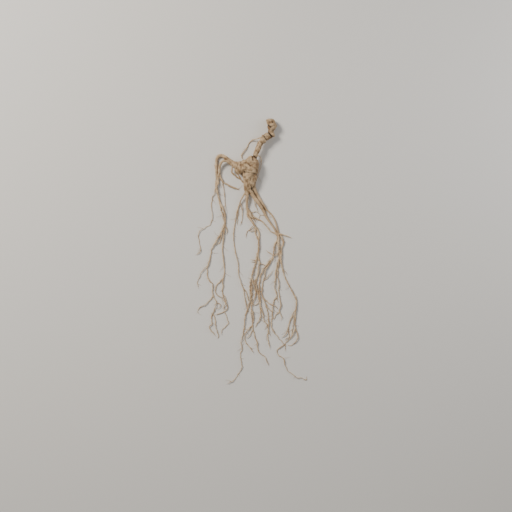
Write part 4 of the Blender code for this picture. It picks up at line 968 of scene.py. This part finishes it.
def add(tree, kind, inputs=None, output=0, **settings):
    """Add a node and give one of its outputs: inputs are its socket values or the sockets that feed them,
    settings its properties."""
    node = tree.nodes.new(kind)
    for key, value in settings.items():
        setattr(node, key, value)
    for key, value in (inputs or {}).items():
        if isinstance(value, bpy.types.NodeSocket):
            tree.links.new(value, node.inputs[key])
        else:
            node.inputs[key].default_value = value
    return node.outputs[output]


def skin_material(name, light, mid, dark, darkening, patch_mm, grain_mm, bump_mm, roughness):
    """Dried root skin: a matt, papery bark, with a painted highlight on the ridges and painted shade in the
    folds, partly the darker brown that a dried root keeps in its grooves.
    stays. Patches of tone are patch_mm across, with darker spots half as wide, and the grain is grain_mm;
    bump_mm is the grain's height."""
    material = bpy.data.materials.new(name)
    material.use_nodes = True
    tree = material.node_tree
    shader = tree.nodes["Principled BSDF"]
    place = add(tree, "ShaderNodeTexCoord", output="Object")
    patches, spots, grain = (
        add(tree, "ShaderNodeTexNoise", {"Vector": place, "Scale": 1 / (size * MM), "Detail": detail,
                                         "Roughness": rough})
        for size, detail, rough in ((patch_mm, 3.0, 0.60), (patch_mm / 2, 2.0, 0.50), (grain_mm, 4.0, 0.65)))
    fold = add(tree, "ShaderNodeAttribute", output="Fac", attribute_name="crease")
    # Each layer of tone: the pattern that it follows, where it sets in, where it is full, and its colour.
    layers = ((patches, 0.40, 0.60, light), (spots, 0.56, 0.92, dark), (grain, 0.60, 0.80, dark),
              # The two fold layers are a painted highlight on the ridges and painted shade in the creases and
              # folds.
              (fold, -0.05, -0.75, light), (fold, 0.12, 1.05, darkening))
    tone = linear(mid)
    for pattern, sets_in, full, colour in layers:
        share = add(tree, "ShaderNodeMapRange", {0: pattern, 1: sets_in, 2: full})
        tone = add(tree, "ShaderNodeMix", {0: share, 6: tone, 7: linear(colour)}, 2, data_type="RGBA")
    tree.links.new(tone, shader.inputs["Base Color"])
    # The grain makes the bark a little smoother in some spots and rougher in others.
    spread = {0: grain, 1: 0.2, 2: 0.8, 3: roughness - 0.08, 4: roughness + 0.1}
    tree.links.new(add(tree, "ShaderNodeMapRange", spread), shader.inputs["Roughness"])
    shader.inputs["Specular IOR Level"].default_value = 0.35
    bump = add(tree, "ShaderNodeBump", {"Height": grain, "Distance": bump_mm * MM, "Strength": 0.8})
    tree.links.new(bump, shader.inputs["Normal"])
    return material


def plain_material(name, colour, roughness):
    """A matt, even surface for the table."""
    material = bpy.data.materials.new(name)
    material.use_nodes = True
    shader = material.node_tree.nodes["Principled BSDF"]
    shader.inputs["Base Color"].default_value = linear(colour)
    shader.inputs["Roughness"].default_value = roughness
    return material


# Camera, light and table.

PHOTO_SIDE = 512            # the photo's width and height in pixels, 1 mm each
PHOTO_ORIGIN = (250, 172)   # the pixel that shows the part's origin
LENS = 85.0
SENSOR = 36.0
TABLE_REACH = 1500.0        # half the table's side
TABLE_DROP = 0.02           # how far the table lies under the part's flat spot


def place_camera():
    """Straight above the middle of the photo's frame, as high as the frame's width asks."""
    data = bpy.data.cameras.new("camera")
    data.lens = LENS
    data.sensor_width = SENSOR
    data.clip_start = 0.05
    camera = bpy.data.objects.new("camera", data)
    middle_x = (PHOTO_SIDE / 2 - PHOTO_ORIGIN[0]) * MM
    middle_y = (PHOTO_ORIGIN[1] - PHOTO_SIDE / 2) * MM
    camera.location = (middle_x, middle_y, PHOTO_SIDE * MM * LENS / SENSOR)
    bpy.context.scene.collection.objects.link(camera)
    bpy.context.scene.camera = camera


def place_light(name, where, aim, size, power, colour=(1, 1, 1)):
    """A square area light at where, turned to aim."""
    data = bpy.data.lights.new(name, "AREA")
    data.size = size
    data.energy = power
    data.color = colour
    light = bpy.data.objects.new(name, data)
    light.location = where
    gap = np.array(where) - np.array(aim)
    light.rotation_euler = (math.atan2(math.hypot(gap[0], gap[1]), gap[2]), 0, math.atan2(gap[0], -gap[1]))
    bpy.context.scene.collection.objects.link(light)


def light_scene():
    """Soft daylight from the upper left, as in the photo, a cool glow from the right and a weak even sky."""
    middle = (0.006, -0.084, 0)     # of the spray, in metres as the lights are
    place_light("window", (-0.60, 0.42, 0.68), middle, size=0.30, power=10.4, colour=(1.0, 0.97, 0.93))
    place_light("ceiling", (0.30, -0.30, 1.0), middle, size=0.9, power=1.2)
    place_light("right_rim", (0.45, 0.10, 0.22), middle, size=0.25, power=0.7, colour=(0.86, 0.90, 1.0))
    world = bpy.data.worlds.new("sky")
    world.use_nodes = True
    sky = world.node_tree.nodes["Background"]
    sky.inputs["Color"].default_value = linear("#F2F4F7")
    sky.inputs["Strength"].default_value = 0.26
    bpy.context.scene.world = world


def make_table():
    """A plain pale surface, a hair below the flat spot."""
    corners = np.array([(x, y, -TABLE_DROP) for x, y in ((-1, -1), (1, -1), (1, 1), (-1, 1))])
    corners[:, :2] *= TABLE_REACH
    table = make_piece("table", corners, np.array([[0, 1, 2, 3]]))
    table.data.materials.append(plain_material("matt_paper", "#E6E1D8", 0.9))


def main():
    """Set the stage, make the root's pieces and say what carries them."""
    place_camera()
    light_scene()
    make_table()
    limbs = {name: smooth_route(line, LIMB_STEP)
             for name, line in (("trunk", TRUNK), ("arm", ARM), ("neck", NECK))}
    roots = lay_roots(limbs)
    body = make_body(limbs, roots)
    body.data.materials.append(skin_material("dried_body_skin", **BODY_SKIN))
    root_skin = skin_material("dried_root_skin", **ROOT_SKIN)
    pieces = [body]
    for piece in make_roots(roots):
        piece.data.materials.append(root_skin)
        pieces.append(piece)
    for piece in pieces:
        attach(piece, BODY)
        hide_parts(NODE)


main()
